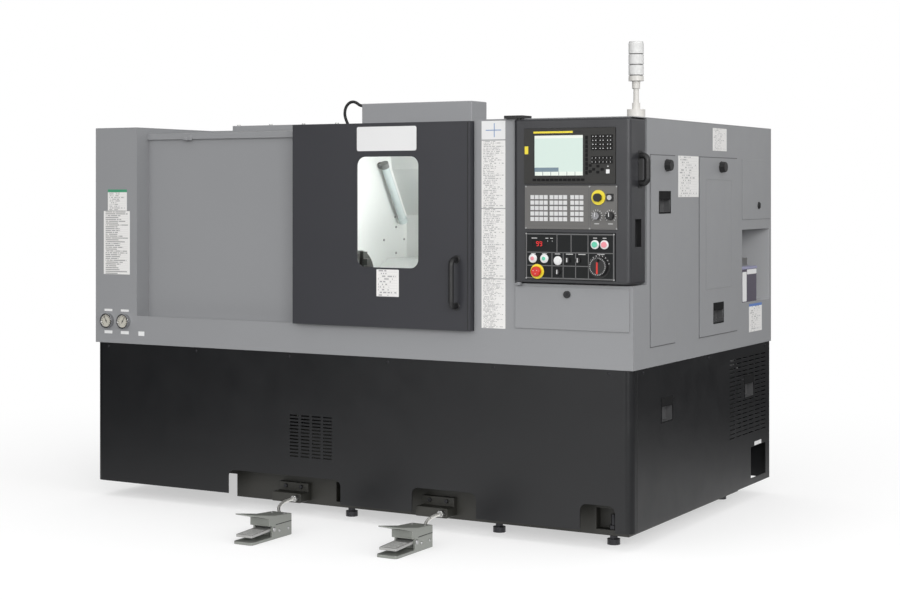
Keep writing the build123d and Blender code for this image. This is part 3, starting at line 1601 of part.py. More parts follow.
with BuildPart() as pedal_cases:
    for pedal_x, pedal_back in pedal_places:
        case_front = pedal_back - case_length
        toe = pedal_back - pedal_length
        # Side section: toe plate below, case behind, hood and visor above
        with BuildSketch(across(pedal_x - pedal_width / 2)):
            with BuildLine():
                Polyline((pedal_back, 0), (pedal_back, case_height),
                         (case_front, case_height + visor_thickness), (toe + visor_setin, visor_height),
                         (toe + visor_setin, visor_height - visor_thickness / 2),
                         (case_front - hood_ahead, case_height), (case_front - hood_ahead, ear_height),
                         (case_front, ear_height), (case_front, toe_height), (toe, toe_height), (toe, 0),
                         close=True)
            make_face()
        extrude(amount=pedal_width)
        # Ears that carry the treadle's pin
        for side in (-1, 1):
            ear_inner = pedal_x + side * (pedal_width / 2 - ear_width)
            ear_outer = pedal_x + side * pedal_width / 2
            block(min(ear_inner, ear_outer), max(ear_inner, ear_outer), case_front - ear_length, case_front,
                  toe_height, ear_height)
        with BuildSketch(across(pedal_x - pedal_width / 2)):
            with Locations((case_front - pivot_ahead, pivot_rise)):
                Circle(pivot_radius + running_gap)
        extrude(amount=pedal_width, mode=Mode.SUBTRACT)
        with BuildSketch(facing(pedal_back)):
            with Locations((pedal_x, pedal_gland_rise)):
                Circle(pedal_gland_radius)
        extrude(amount=-pedal_gland_length)
    # The toe plates' front corners, the shortest upright edges
    upright = pedal_cases.edges().filter_by(Axis.Z)
    fillet(upright.filter_by(lambda edge: edge.length <= toe_height + fit_gap), pedal_corner)
save(pedal_cases, "pedal_cases")

for treadle_name, (pedal_x, pedal_back) in zip(("left_treadle", "right_treadle"), pedal_places):
    pivot_y = pedal_back - case_length - pivot_ahead
    treadle_half = pedal_width / 2 - ear_width - fit_gap
    treadle_toe = pedal_back - pedal_length + treadle_setin
    with BuildPart() as treadle:
        with BuildSketch(across(pedal_x - treadle_half)):
            with BuildLine():
                Polyline((pivot_y + hub_half, pivot_rise - treadle_thickness / 2),
                         (pivot_y + hub_half, pivot_rise + treadle_thickness / 2),
                         (treadle_toe, pivot_rise - treadle_drop + treadle_thickness / 2),
                         (treadle_toe, pivot_rise - treadle_drop - treadle_thickness / 2), close=True)
            make_face()
        extrude(amount=2 * treadle_half)
        with BuildSketch(across(pedal_x - pedal_width / 2)):
            with Locations((pivot_y, pivot_rise)):
                Circle(pivot_radius)
        extrude(amount=pedal_width)
    save(treadle, treadle_name)

# Boxes on the bed's front face that the pedals' conduits leave, in the skirt's notches.
bracket_half = 75
bracket_setin = 30
bracket_bottom = 52
bracket_height = 40
bracket_corner = 5
bracket_flange_height = 36
bracket_flange_depth = 24
bracket_gland_across = 55
bracket_gland_length = 30
bracket_gland_rise = 74
bracket_top = bracket_bottom + bracket_height
with BuildPart() as pedal_brackets:
    for bracket_x in (left_bracket_x, right_bracket_x):
        with BuildSketch(facing(front_y + bracket_setin)):
            soft_bar(bracket_x - bracket_half, bracket_x + bracket_half, bracket_bottom, bracket_top,
                     bracket_corner)
        extrude(amount=bracket_setin - bed_setback)
        block(bracket_x - bracket_half, bracket_x + bracket_half, bed_front - bracket_flange_depth, bed_front,
              bracket_top - bracket_corner, bracket_top + bracket_flange_height)
        with BuildSketch(facing(front_y + bracket_setin)):
            with Locations((bracket_x + bracket_gland_across, bracket_gland_rise)):
                Circle(pedal_gland_radius)
        extrude(amount=bracket_gland_length)
save(pedal_brackets, "pedal_brackets")

# Pedal conduits: from the boxes' glands down to the floor and into the gland at the back of each case.
# Each row holds the shares of the way across, forward and down.
left_route_shares = ((0, 0, 0), (0, 0.135, 0), (0.035, 0.295, 0.12), (0.115, 0.44, 0.48), (0.275, 0.56, 0.8),
                     (0.49, 0.67, 0.94), (0.72, 0.775, 1), (0.9, 0.86, 1), (1, 0.945, 1), (1, 1, 1))
right_route_shares = ((0, 0, 0), (0, 0.16, 0), (0.015, 0.34, 0.17), (0.105, 0.505, 0.48), (0.34, 0.65, 0.77),
                      (0.66, 0.78, 0.94), (0.92, 0.87, 1), (1, 0.94, 1), (1, 1, 1))


def pedal_route(bracket_x, pedal_x, pedal_back, route_shares):
    """The points of a conduit between the box's gland and the pedal's, by shares of the way."""
    leave = Vector(bracket_x + bracket_gland_across, front_y + bracket_setin - bracket_gland_length,
                   bracket_gland_rise)
    arrive = Vector(pedal_x, pedal_back + pedal_gland_length, pedal_gland_rise)
    way = arrive - leave
    return [leave + Vector(way.X * along, way.Y * ahead, way.Z * down) for along, ahead, down in route_shares]


left_route = pedal_route(left_bracket_x, left_pedal_x, left_pedal_back, left_route_shares)
right_route = pedal_route(right_bracket_x, right_pedal_x, right_pedal_back, right_route_shares)
save(conduit(left_route, conduit_radius), "left_pedal_conduit")
save(conduit(right_route, conduit_radius), "right_pedal_conduit")
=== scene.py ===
from math import cos, pi, radians, sin, tau

import bpy
import numpy as np
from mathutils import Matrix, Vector


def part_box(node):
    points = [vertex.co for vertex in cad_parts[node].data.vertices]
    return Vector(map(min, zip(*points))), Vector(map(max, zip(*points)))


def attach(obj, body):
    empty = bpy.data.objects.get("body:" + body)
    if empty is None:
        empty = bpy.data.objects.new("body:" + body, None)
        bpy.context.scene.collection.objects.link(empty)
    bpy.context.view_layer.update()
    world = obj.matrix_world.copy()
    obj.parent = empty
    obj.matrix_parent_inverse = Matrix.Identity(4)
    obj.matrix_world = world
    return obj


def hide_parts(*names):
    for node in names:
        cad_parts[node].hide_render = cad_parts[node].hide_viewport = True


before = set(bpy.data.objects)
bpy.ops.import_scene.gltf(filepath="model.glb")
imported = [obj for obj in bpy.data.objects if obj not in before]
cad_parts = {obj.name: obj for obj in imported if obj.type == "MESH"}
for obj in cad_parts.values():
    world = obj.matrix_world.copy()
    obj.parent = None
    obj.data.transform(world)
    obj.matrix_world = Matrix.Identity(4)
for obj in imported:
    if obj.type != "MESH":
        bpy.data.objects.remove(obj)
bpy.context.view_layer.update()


# Skirt: dark folded sheets round the base, in a satin powder coat with a fine orange peel.
# They hang on a row of button-head screws along their top edge, and carry flush pulls.
def feed(inputs, feeds):
    """Give each input its value, or link it to the socket that drives it."""
    for socket, value in feeds.items():
        if isinstance(value, bpy.types.NodeSocket):
            value.id_data.links.new(value, inputs[socket])
        else:
            inputs[socket].default_value = value


def add(tree, kind, feeds=None, **settings):
    """One shader node with its settings, and for each input a value or the socket that feeds it."""
    made = tree.nodes.new(kind)
    for setting, value in settings.items():
        setattr(made, setting, value)
    feed(made.inputs, feeds or {})
    return made


def home(*values):
    """The node tree of the first socket among some values."""
    return next(value for value in values if isinstance(value, bpy.types.NodeSocket)).id_data


def calc(operation, *values):
    """The result of one sum, each value a number or a socket."""
    return add(home(*values), "ShaderNodeMath", dict(enumerate(values)), operation=operation).outputs[0]


def noise(tree, scale, detail=3.0):
    """The grey of a noise pattern, by Object coordinates."""
    spot = add(tree, "ShaderNodeTexCoord").outputs["Object"]
    return add(tree, "ShaderNodeTexNoise", {"Vector": spot, "Scale": scale, "Detail": detail}).outputs["Fac"]


def ramp(value, start, end, low=0.0, high=1.0, easing="LINEAR"):
    """A value carried from the range start to end into low to high, straight or eased at both ends."""
    feeds = {"Value": value, "From Min": start, "From Max": end, "To Min": low, "To Max": high}
    return add(value.id_data, "ShaderNodeMapRange", feeds, interpolation_type=easing).outputs["Result"]


def blended(amount, below, above):
    """One colour over another by a mask; each colour is a triple or a socket."""
    below, above = (c if isinstance(c, bpy.types.NodeSocket) else (*c, 1) for c in (below, above))
    feeds = {0: amount, 6: below, 7: above}
    return add(home(*feeds.values()), "ShaderNodeMix", feeds, data_type="RGBA").outputs[2]


def shader_group(name, inputs, outputs):
    """An empty node group with named sockets: its tree, its input node and its output node."""
    tree = bpy.data.node_groups.new(name, "ShaderNodeTree")
    for in_out, sockets in (("INPUT", inputs), ("OUTPUT", outputs)):
        for socket, kind in sockets.items():
            tree.interface.new_socket(socket, in_out=in_out, socket_type="NodeSocket" + kind)
    return tree, tree.nodes.new("NodeGroupInput").outputs, tree.nodes.new("NodeGroupOutput").inputs


# Sprayed skin: the tone drifts over a metre, the gloss over a hand's width, the peel over a millimetre.
sprayed, given, gives = shader_group(
    "sprayed_skin", {"Color": "Color", "Drift": "Float", "Roughness": "Float", "Peel Scale": "Float"},
    {"Color": "Color", "Roughness": "Float", "Height": "Float"})
tone_scale, gloss_scale, gloss_spread = 1.6, 9.0, 0.16
tone = calc("SUBTRACT", noise(sprayed, tone_scale), 0.5)
lift = calc("MULTIPLY_ADD", tone, given["Drift"], 1.0)
tinted = add(sprayed, "ShaderNodeHueSaturation", {"Color": given["Color"], "Value": lift})
gloss = calc("SUBTRACT", noise(sprayed, gloss_scale, 4.0), 0.5)
feed(gives, {
    "Color": tinted.outputs["Color"],
    "Roughness": calc("MULTIPLY_ADD", gloss, gloss_spread, given["Roughness"]),
    "Height": noise(sprayed, given["Peel Scale"], 2.0)})

# Worked edge: the rounded normal of a folded or moulded edge, and a mask of where hands rub it.
worked, given, gives = shader_group(
    "worked_edge", {"Radius": "Float"}, {"Normal": "Vector", "Rubbed": "Float"})
rounded = add(worked, "ShaderNodeBevel", {"Radius": given["Radius"]}, samples=4).outputs["Normal"]
flat = add(worked, "ShaderNodeNewGeometry").outputs["Normal"]
turn = add(worked, "ShaderNodeVectorMath", {0: rounded, 1: flat}, operation="DOT_PRODUCT").outputs["Value"]
rub_starts, rub_full, rub_scale = 0.995, 0.9, 70.0
rub = ramp(turn, rub_starts, rub_full)
feed(gives, {"Normal": rounded, "Rubbed": calc("MULTIPLY", rub, noise(worked, rub_scale, 5.0))})


def blank_material(name):
    """A new material: itself, its tree and the inputs of its Principled shader."""
    material = bpy.data.materials.new(name)
    material.use_nodes = True
    return material, material.node_tree, material.node_tree.nodes["Principled BSDF"].inputs


def coated(name, color, roughness, edge=0.0015, drift=0.08, peel_scale=900.0, peel=0.25, rubbed=0.0,
           specular=0.5, metal=0.0, glow=0.0):
    """A sprayed, moulded or cast finish: drifting tone, fine peel, rounded edges, rubbed corners."""
    material, tree, inputs = blank_material(name)
    skin = add(tree, "ShaderNodeGroup", {"Color": (*color, 1), "Drift": drift, "Roughness": roughness,
                                         "Peel Scale": peel_scale}, node_tree=sprayed).outputs
    brim = add(tree, "ShaderNodeGroup", {"Radius": edge}, node_tree=worked).outputs
    bump = add(tree, "ShaderNodeBump", {"Height": skin["Height"], "Normal": brim["Normal"],
                                        "Strength": peel, "Distance": 0.0004}).outputs["Normal"]
    shade = skin["Color"]
    if rubbed:
        bare = tuple(min(1, 3 * channel + 0.08) for channel in color)
        shade = blended(calc("MULTIPLY", brim["Rubbed"], rubbed), shade, bare)
    feed(inputs, {"Base Color": shade, "Roughness": skin["Roughness"], "Normal": bump,
                        "Specular IOR Level": specular, "Metallic": metal})
    if glow:
        feed(inputs, {"Emission Color": shade, "Emission Strength": glow})
    return material


def dress(node, *coats):
    """Finish a CAD piece: the first coat all over, each later one where its test picks face centres."""
    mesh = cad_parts[node].data
    mesh.materials.clear()
    centres = np.empty(3 * len(mesh.polygons), np.float32)
    mesh.polygons.foreach_get("center", centres)
    x, y, z = centres.reshape(-1, 3).T
    index = np.zeros(len(mesh.polygons), np.int32)
    for number, coat in enumerate(coats):
        material, test = coat if isinstance(coat, tuple) else (coat, None)
        mesh.materials.append(material)
        if test:
            index[test(x, y, z)] = number
    mesh.polygons.foreach_set("material_index", index)


def loft(rings):
    """A closed shell from rings of equal count: quads between neighbours and a flat cap at each end."""
    count, around = rings.shape[:2]
    row = np.arange(count - 1)[:, None] * around
    here = np.arange(around)
    after = np.roll(here, -1)
    quads = np.stack((row + here, row + after, row + around + after, row + around + here), -1).reshape(-1, 4)
    caps = [list(range(around))[::-1], list(range((count - 1) * around, count * around))]
    return rings.reshape(-1, 3), quads.tolist() + caps


# Each facing is a sheet's own across and up; their cross product points out of the machine.
FRONT = np.array(((1, 0, 0), (0, 0, 1)), float)
RIGHT = np.array(((0, 1, 0), (0, 0, 1)), float)
BACK = np.array(((-1, 0, 0), (0, 0, 1)), float)
LEFT = np.array(((0, -1, 0), (0, 0, 1)), float)
TOP = np.array(((1, 0, 0), (0, 1, 0)), float)
SUNK = 0.0002
CENTRE = 0.0001


def head_profile(seat, *steps, crown=None):
    """A head's profile: out from the axis at its seat, up through each (radius, height), in at the crown."""
    return ((CENTRE, seat), (steps[0][0], seat), *steps, (CENTRE, steps[-1][1] if crown is None else crown))


def turned(at, facing, profile, around=24):
    """A turned shell: each (radius, height) of the profile is one circle square to the facing's axis."""
    axis = np.cross(*facing)
    side = np.cross(axis, (0, 0, 1) if abs(axis[2]) < 0.9 else (1, 0, 0))
    side /= np.linalg.norm(side)
    angle = np.arange(around) * tau / around
    circle = np.cos(angle)[:, None] * side + np.sin(angle)[:, None] * np.cross(axis, side)
    profile = np.array(profile, float)
    return loft(np.array(at) + profile[:, :1, None] * circle + profile[:, 1:, None] * axis)


def slab(at, facing, width, height, thick, corner=0.0, soft=0.15):
    """A flat plate: a rectangle with quarter-circle corners, carried from just under its seat to its
    face, where its rim draws in by a share of its thickness. The face carries a 0 to 1 UV."""
    arc = np.arange(6 if corner else 1) * (pi / 2 / 5)
    angle = (np.arange(4)[:, None] * pi / 2 + arc).ravel()
    middle = np.repeat(np.array(((1, 1), (-1, 1), (-1, -1), (1, -1))), len(arc), 0) * (
        np.array((width, height)) / 2 - corner)
    outline = middle + corner * np.stack((np.cos(angle), np.sin(angle)), -1)
    draw = 1 - 2 * soft * thick / np.array((width, height))
    level = np.array((-SUNK, thick * (1 - soft), thick))
    plan = np.stack((outline, outline, outline * draw))
    points, faces = loft(np.array(at) + plan @ facing + level[:, None, None] * np.cross(*facing))
    return points, faces, (plan / (width, height) + 0.5).reshape(-1, 2)


def put(name, data):
    """A new object at the origin, linked to the scene."""
    made = bpy.data.objects.new(name, data)
    bpy.context.scene.collection.objects.link(made)
    return made


def piece(name, shells, material, body):
    """Closed shells as one object at the origin, each turned outward by the sign of its volume."""
    points, faces, places, count = [], [], [], 0
    for shell in shells:
        corners = np.array([face[:3] for face in shell[1]])
        a, b, c = (shell[0][corners[:, k]] - shell[0].mean(0) for k in range(3))
        step = -1 if np.einsum("ij,ij->i", a, np.cross(b, c)).sum() < 0 else 1
        faces += [[corner + count for corner in face[::step]] for face in shell[1]]
        points.append(shell[0])
        places.append(shell[2] if len(shell) > 2 else np.zeros((len(shell[0]), 2)))
        count += len(shell[0])
    mesh = bpy.data.meshes.new(name)
    mesh.from_pydata(np.concatenate(points).tolist(), [], faces)
    corner_points = np.empty(len(mesh.loops), np.int32)
    mesh.loops.foreach_get("vertex_index", corner_points)
    chart = mesh.uv_layers.new(name="UVMap")
    chart.uv.foreach_set("vector", np.concatenate(places)[corner_points].ravel())
    mesh.shade_smooth()
    mesh.set_sharp_from_angle(angle=radians(35))
    mesh.materials.append(material)
    made = put(name, mesh)
    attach(made, body)
    return made


def cup_faces(face, middles, rise, width, height):
    """A test for the faces of flush pulls' cups, which lie behind the face of their sheet."""
    return lambda x, y, z: ((x < face - 0.0015) & (np.abs(z - rise) < height / 2 + 0.003) & np.any(
        [np.abs(y - middle) < width / 2 + 0.005 for middle in middles], 0))


def pull_bezel(x, y, z, width, height):
    """The black rim of a flush pull: four strips round its mouth, the top one wide enough for the lip."""
    brim, thick, lip = 0.006, 0.0012, 0.35 * height
    return [slab((x, y, z + height / 2 - lip / 2 + brim / 2), RIGHT, width + 2 * brim, lip + brim, thick),
            slab((x, y, z - height / 2 - brim / 2), RIGHT, width + 2 * brim, brim, thick),
            slab((x, y - width / 2 - brim / 2, z - lip / 2), RIGHT, brim, height - lip, thick),
            slab((x, y + width / 2 + brim / 2, z - lip / 2), RIGHT, brim, height - lip, thick)]


skirt_coat = coated("skirt_satin_coat", (0.0075, 0.0078, 0.0088), 0.33, drift=0.2, specular=0.34)
moulded_black = coated("moulded_black", (0.006, 0.006, 0.0065), 0.5, edge=0.0008, peel_scale=1600.0,
                       rubbed=0.15)
# Pull cups: painted light, a grey far lighter than the black bezels, stands in for the light caught inside
# the hollow cups.
cup_painted_light = coated("pull_cup_painted_light_grey", (0.085, 0.085, 0.087), 0.3, edge=0.002)
bezel_black = coated("pull_bezel_black", (0.005, 0.005, 0.0055), 0.6, edge=0.0004, peel_scale=1600.0,
                     specular=0.12)
blued_steel = coated("blued_steel", (0.03, 0.03, 0.033), 0.35, edge=0.0006, rubbed=0.5, metal=0.8)
gasket = coated("joint_dark", (0.01, 0.01, 0.01), 0.7, edge=0.0006)
front_low, front_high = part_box("front_skirt")
back_low, back_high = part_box("back_skirts")
skirt_low, skirt_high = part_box("right_skirt")
skirt_pull_z, skirt_pull_ys = 0.516, (-0.1395, 0.8175)
pull_width, skirt_pull_height = 0.11, 0.09
dress("front_skirt", skirt_coat)
dress("back_skirts", skirt_coat)
dress("right_skirt", skirt_coat,
      (cup_painted_light, cup_faces(skirt_high.x, skirt_pull_ys, skirt_pull_z, pull_width, skirt_pull_height)))
screw_head = head_profile(-0.002, (0.0062, 0.0008), (0.0045, 0.0028), (0.0026, 0.0032), (0.0024, 0.0012))
screw_z = front_high.z - 0.016
screw_insets = (0.098, 0.601, 1.098, 1.594, 2.093, 2.595)
left_screw_ys, right_screw_ys = (-0.25, 0.3, 0.95), (-0.38, 0.32, 1.03)
seats = [((front_high.x - inset, y, screw_z), facing)
         for y, facing in ((front_low.y, FRONT), (back_high.y, BACK)) for inset in screw_insets]
seats += [((back_low.x, y, screw_z), LEFT) for y in left_screw_ys]
seats += [((skirt_high.x, y, screw_z), RIGHT) for y in right_screw_ys]
heads = [turned(at, facing, screw_head, 16) for at, facing in seats]
piece("skirt_screws", heads, blued_steel, "machine")
bezels = [strip for y in skirt_pull_ys
          for strip in pull_bezel(skirt_high.x, y, skirt_pull_z, pull_width, skirt_pull_height)]
piece("skirt_pull_bezels", bezels, bezel_black, "machine")
corner_joint = [slab((skirt_high.x, skirt_low.y + 0.001, (skirt_low.z + skirt_high.z) / 2), RIGHT, 0.002,
                     skirt_high.z - skirt_low.z - 0.004, 0.0003)]
piece("skirt_corner_joint", corner_joint, gasket, "machine")

# Bed: a ribbed iron casting under black primer, with its levelling bolts in pockets above foot plates.
# The headstock, saddle, turret and tailstock sit on its slant, which white way covers hide.
cast_coat = coated("cast_primer", (0.0165, 0.016, 0.0125), 0.55, edge=0.004, drift=0.6, peel_scale=260.0,
                   peel=0.6)
bare_steel = coated("bare_steel", (0.34, 0.34, 0.34), 0.32, edge=0.0008, drift=0.2, peel_scale=420.0,
                    peel=0.15, metal=1.0)
chuck_steel = coated("chuck_oiled_steel", (0.13, 0.13, 0.125), 0.3, edge=0.001, drift=0.4, peel_scale=120.0,
                     peel=0.5, rubbed=0.6, metal=0.9)
enamel = coated("cabin_enamel", (0.74, 0.75, 0.735), 0.3, edge=0.002, drift=0.05)
way_cover_z = 0.62
dress("bed_casting", cast_coat, (enamel, lambda x, y, z: z > way_cover_z))
for finish, nodes in (
        (blued_steel, ("levelling_feet",)),
        (cast_coat, ("headstock", "saddle", "turret_slide", "tailstock_body", "spindle_motor")),
        (bare_steel, ("spindle", "turret_disc", "z_screw", "tailstock_quill", "motor_pulley")),
        (chuck_steel, ("chuck_body", "chuck_jaw_1", "chuck_jaw_2", "chuck_jaw_3")),
        (moulded_black, ("drive_belt",))):
    for node in nodes:
        dress(node, finish)

# Cabin: white enamelled sheet round the work space, with a clear glass tube lamp on its left wall.
# They show through the door's window, lit from inside.
dress("inner_cabin", enamel)
dress("chip_pan", skirt_coat)
tube_glass, tree, inputs = blank_material("lamp_tube_glass")
veil = ramp(noise(tree, 40.0), 0.0, 1.0, 0.0, 0.3)
feed(inputs, {"Base Color": blended(veil, (0.62, 0.69, 0.69), (0.8, 0.84, 0.83)), "Roughness": 0.12})
lamp_cap_grey = coated("lamp_cap_grey", (0.2, 0.205, 0.2), 0.4, edge=0.001)
lamp_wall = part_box("work_light")[0].x
lamp_clip = 0.012
lamp_end, lamp_slope, lamp_cap = (0.2715, 1.523), (-0.5437, 0.8394), 0.0245
dress("work_light", tube_glass, (enamel, lambda x, y, z: x < lamp_wall + lamp_clip),
      (lamp_cap_grey, lambda x, y, z:
       (y - lamp_end[0]) * lamp_slope[0] + (z - lamp_end[1]) * lamp_slope[1] > -lamp_cap))
wall_screw_places = ((0.324, 1.162), (0.433, 1.098), (0.507, 1.162), (0.424, 1.269), (0.433, 1.221))
wall_screws = [turned((lamp_wall, y, z), RIGHT, screw_head, 12) for y, z in wall_screw_places]
piece("cabin_wall_screws", wall_screws, bare_steel, "machine")

# Guard: grey folded sheets over the bed, closed by a bent panel behind the door and a flat roof.
# Satin coat, with hairline joints where one sheet meets the next; the roof hatch is bolted on.
guard_coat = coated("guard_satin_coat", (0.273, 0.277, 0.286), 0.45, edge=0.002, drift=0.05, specular=0.4)
# Niche: painted light, a lighter copy of the guard's grey for the niche's inner faces, brightening the recess
# against its shade.
niche_lightened_coat = coated("niche_painted_light_grey", (0.42, 0.425, 0.435), 0.5, edge=0.002, drift=0.05, specular=0.3)
zinc = coated("zinc_plate", (0.42, 0.42, 0.41), 0.38, edge=0.0005, drift=0.2, peel_scale=500.0, metal=0.9)
for node in ("front_guard", "slide_bay_panel", "left_guard", "rear_guard", "roof_panel", "roof_box",
             "electrical_cabinet"):
    dress(node, guard_coat)
guard_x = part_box("rear_guard")[1].x
niche_depth, niche_y, niche_z = 0.006, 0.7, 0.88
# The niche's inner faces take the lighter painted-light grey; the rest of the right guard keeps the guard
# coat.
dress("right_guard", guard_coat,
      (niche_lightened_coat, lambda x, y, z: (x < guard_x - niche_depth) & (y > niche_y) & (z > niche_z)))
hatch_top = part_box("roof_panel")[1].z
bolt_head = head_profile(-0.001, (0.008, 0.0045), (0.007, 0.0055))
hatch_bolts = [turned((x, y, hatch_top), TOP, bolt_head, 6)
               for x in (-0.976, -0.79, -0.604, -0.418) for y in (0.09, 0.467)]
piece("roof_hatch_bolts", hatch_bolts, zinc, "machine")
latch_y, latch_z = 0.9235, 1.327
latch_rose = head_profile(-0.001, (0.016, 0.003), (0.013, 0.005))
hatch_latch = [turned((guard_x + 0.002, latch_y, latch_z), RIGHT, latch_rose),
               slab((guard_x + 0.0065, latch_y, latch_z), RIGHT, 0.005, 0.022, 0.004)]
piece("hatch_latch", hatch_latch, moulded_black, "machine")
cabinet_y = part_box("electrical_cabinet")[1].y
flush = 0.0001
cabinet_latch = [slab((-0.86, cabinet_y, 1.13), BACK, 0.034, 0.13, flush, 0.012)]
piece("cabinet_flush_latch", cabinet_latch, moulded_black, "machine")
stop_x = -0.887
rail_stop = [slab((stop_x, -0.4175, 1.632), FRONT, 0.05, 0.026, 0.004, 0.003),
             slab((stop_x, -0.4215, 1.626), FRONT, 0.02, 0.014, 0.012, 0.002)]
piece("rail_stop", rail_stop, guard_coat, "machine")


# Sheets on the guard: paper charts and plates under clear film, stuck on, ruled and printed with rows
# of plain marks. A grid of cells is inked by chance, in rows that end at a length of their own.
def split_place(tree, kind):
    """The X, Y and Z of one of the texture coordinates."""
    return add(tree, "ShaderNodeSeparateXYZ", {0: add(tree, "ShaderNodeTexCoord").outputs[kind]}).outputs


def drawn(tree, parts):
    """A chance value from 0 to 1 for each cell, drawn from the cell's whole numbers."""
    cell = add(tree, "ShaderNodeCombineXYZ", parts).outputs[0]
    return add(tree, "ShaderNodeTexWhiteNoise", {"Vector": cell}, noise_dimensions="3D").outputs["Value"]


def near_middle(value, reach):
    """One where a value is within reach of a half, and nothing elsewhere."""
    apart = calc("ABSOLUTE", calc("SUBTRACT", value, 0.5))
    return calc("LESS_THAN", apart, reach)


ruled, given, gives = shader_group(
    "ruled_print", {"Rows": "Float", "Columns": "Float", "Cover": "Float"}, {"Ink": "Float", "Rule": "Float"})
chart = split_place(ruled, "UV")
down = calc("MULTIPLY", chart["Y"], given["Rows"])
along = calc("MULTIPLY", chart["X"], given["Columns"])
row = calc("FLOOR", down)
in_row = calc("FRACT", down)
chance = drawn(ruled, {0: calc("FLOOR", along), 1: row})
length = drawn(ruled, {1: row, 2: 7.0})
line = near_middle(in_row, 0.22)
margin = near_middle(chart["X"], 0.43)
kept = calc("LESS_THAN", chart["X"], calc("MULTIPLY_ADD", length, 0.5, 0.48))
inked = calc("MULTIPLY", calc("LESS_THAN", chance, given["Cover"]), line)
inked = calc("MULTIPLY", inked, kept)
feed(gives, {"Ink": calc("MULTIPLY", inked, margin),
                    "Rule": calc("MULTIPLY", calc("LESS_THAN", in_row, 0.08), margin)})


def printed(name, rows, columns, cover, ink=(0.2, 0.2, 0.21), bar=None, bar_share=0.0):
    """A printed sheet: paper, rows of plain marks between hairlines, and a coloured band along its top."""
    paper, yellowed = (0.82, 0.81, 0.8), (0.62, 0.6, 0.52)
    material, tree, inputs = blank_material(name)
    marks = add(tree, "ShaderNodeGroup", {"Rows": rows, "Columns": columns, "Cover": cover},
                node_tree=ruled).outputs
    shade = blended(calc("MULTIPLY", noise(tree, 14.0), 0.12), paper, yellowed)
    shade = blended(calc("MULTIPLY", marks["Rule"], 0.35), shade, ink)
    shade = blended(calc("MULTIPLY", marks["Ink"], 0.75), shade, ink)
    if bar:
        up = split_place(tree, "UV")["Y"]
        shade = blended(calc("GREATER_THAN", up, 1 - bar_share), shade, bar)
    feed(inputs, {"Base Color": shade, "Roughness": 0.4})
    return material


plain_white = coated("bare_white_plate", (0.78, 0.78, 0.78), 0.35, edge=0.0004, drift=0.04)
blue_ink = coated("blue_ink", (0.12, 0.25, 0.5), 0.5, edge=0.0002)
front_y = front_low.y
film = 0.0006
post_x, post_width, post_gap, post_head_z = 0.71, 0.108, 0.003, 1.636
chart_strip = [slab((post_x, front_y, (low + high) / 2), FRONT, post_width, high - low - post_gap, film)
               for low, high in ((0.840, 1.040), (1.040, 1.322), (1.322, 1.596))]
chart_axes = [slab((post_x, front_y - film, post_head_z), FRONT, 0.07, 0.003, film),
              slab((0.714, front_y - film, post_head_z), FRONT, 0.003, 0.056, film)]
side_charts = [slab((guard_x, 0.075, 1.4515), RIGHT, 0.223, 0.169, film),
               slab((guard_x, 0.434, 1.6125), RIGHT, 0.165, 0.097, film)]
for name, sheets, finish in (
        ("post_charts", chart_strip, printed("chart_print", 40, 34, 0.6)),
        ("post_chart_head", [slab((post_x, front_y, post_head_z), FRONT, post_width, 0.075, film)],
         plain_white),
        ("post_chart_axes", chart_axes, blue_ink),
        ("pillar_charts", [slab((-1.234, front_y, 1.157), FRONT, 0.152, 0.288, film)],
         printed("pillar_print", 34, 40, 0.9, ink=(0.1, 0.1, 0.105))),
        ("pillar_head_sheet", [slab((-1.2305, front_y, 1.351), FRONT, 0.111, 0.096, film)],
         printed("green_head_print", 12, 30, 0.6, bar=(0.05, 0.3, 0.16), bar_share=0.13)),
        ("side_charts", side_charts, printed("side_print", 16, 30, 0.35)),
        ("side_oil_sheet", [slab((guard_x, 0.884, 0.822), RIGHT, 0.167, 0.126, film)],
         printed("blue_head_print", 14, 26, 0.4, bar=(0.1, 0.2, 0.5), bar_share=0.09)),
        ("cable_label", [slab((skirt_high.x, 0.9325, 0.25), RIGHT, 0.09, 0.017, film)], plain_white),
        ("sill_label", [slab((-1.091, front_y, 0.748), FRONT, 0.034, 0.02, film)], plain_white)):
    piece(name, sheets, finish, "machine")

# Access covers: grey sheet plates over openings in the right guard, coated as the guard is.
# Each lifts off by a black turn knob and a flush pull; the rear one has a pressed inner rim.
joint_grey = coated("joint_grey", (0.11, 0.11, 0.115), 0.6, edge=0.0003)
cover_x, cover_pull_height = guard_x + 0.004, 0.078
proud = 0.0005
gap, hairline = 0.004, 0.0004
joint_lines = []
# The covers' pull cups take the same painted-light grey as the skirt's.
for node, body, pull_y, pull_z in (("front_access_cover", "front_cover", -0.1865, 1.347),
                                   ("rear_access_cover", "rear_cover", 0.4095, 0.871)):
    dress(node, guard_coat, (moulded_black, lambda x, y, z: x > cover_x + proud),
          (cup_painted_light, cup_faces(cover_x, (pull_y,), pull_z, pull_width, cover_pull_height)))
    piece(f"{body}_pull_bezel", pull_bezel(cover_x, pull_y, pull_z, pull_width, cover_pull_height),
          bezel_black, body)
    low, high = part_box(node)
    across, up = (low.y + high.y) / 2, (low.z + high.z) / 2
    joint_lines += [slab((guard_x, across, z), RIGHT, high.y - low.y, gap, hairline)
                    for z in (low.z - gap / 2, high.z + gap / 2)]
    joint_lines += [slab((guard_x, y, up), RIGHT, gap, high.z - low.z + 2 * gap, hairline)
                    for y in (low.y - gap / 2, high.y + gap / 2)]
piece("cover_joint_lines", joint_lines, joint_grey, "machine")
pressed, thick = 0.004, 0.0008
rim = [slab((cover_x, 0.4175, z), RIGHT, 0.31, pressed, thick, soft=0.5) for z in (0.977, 1.441)]
rim += [slab((cover_x, y, 1.209), RIGHT, pressed, 0.46, thick, soft=0.5) for y in (0.2645, 0.5705)]
piece("rear_cover_pressed_rim", rim, guard_coat, "rear_cover")

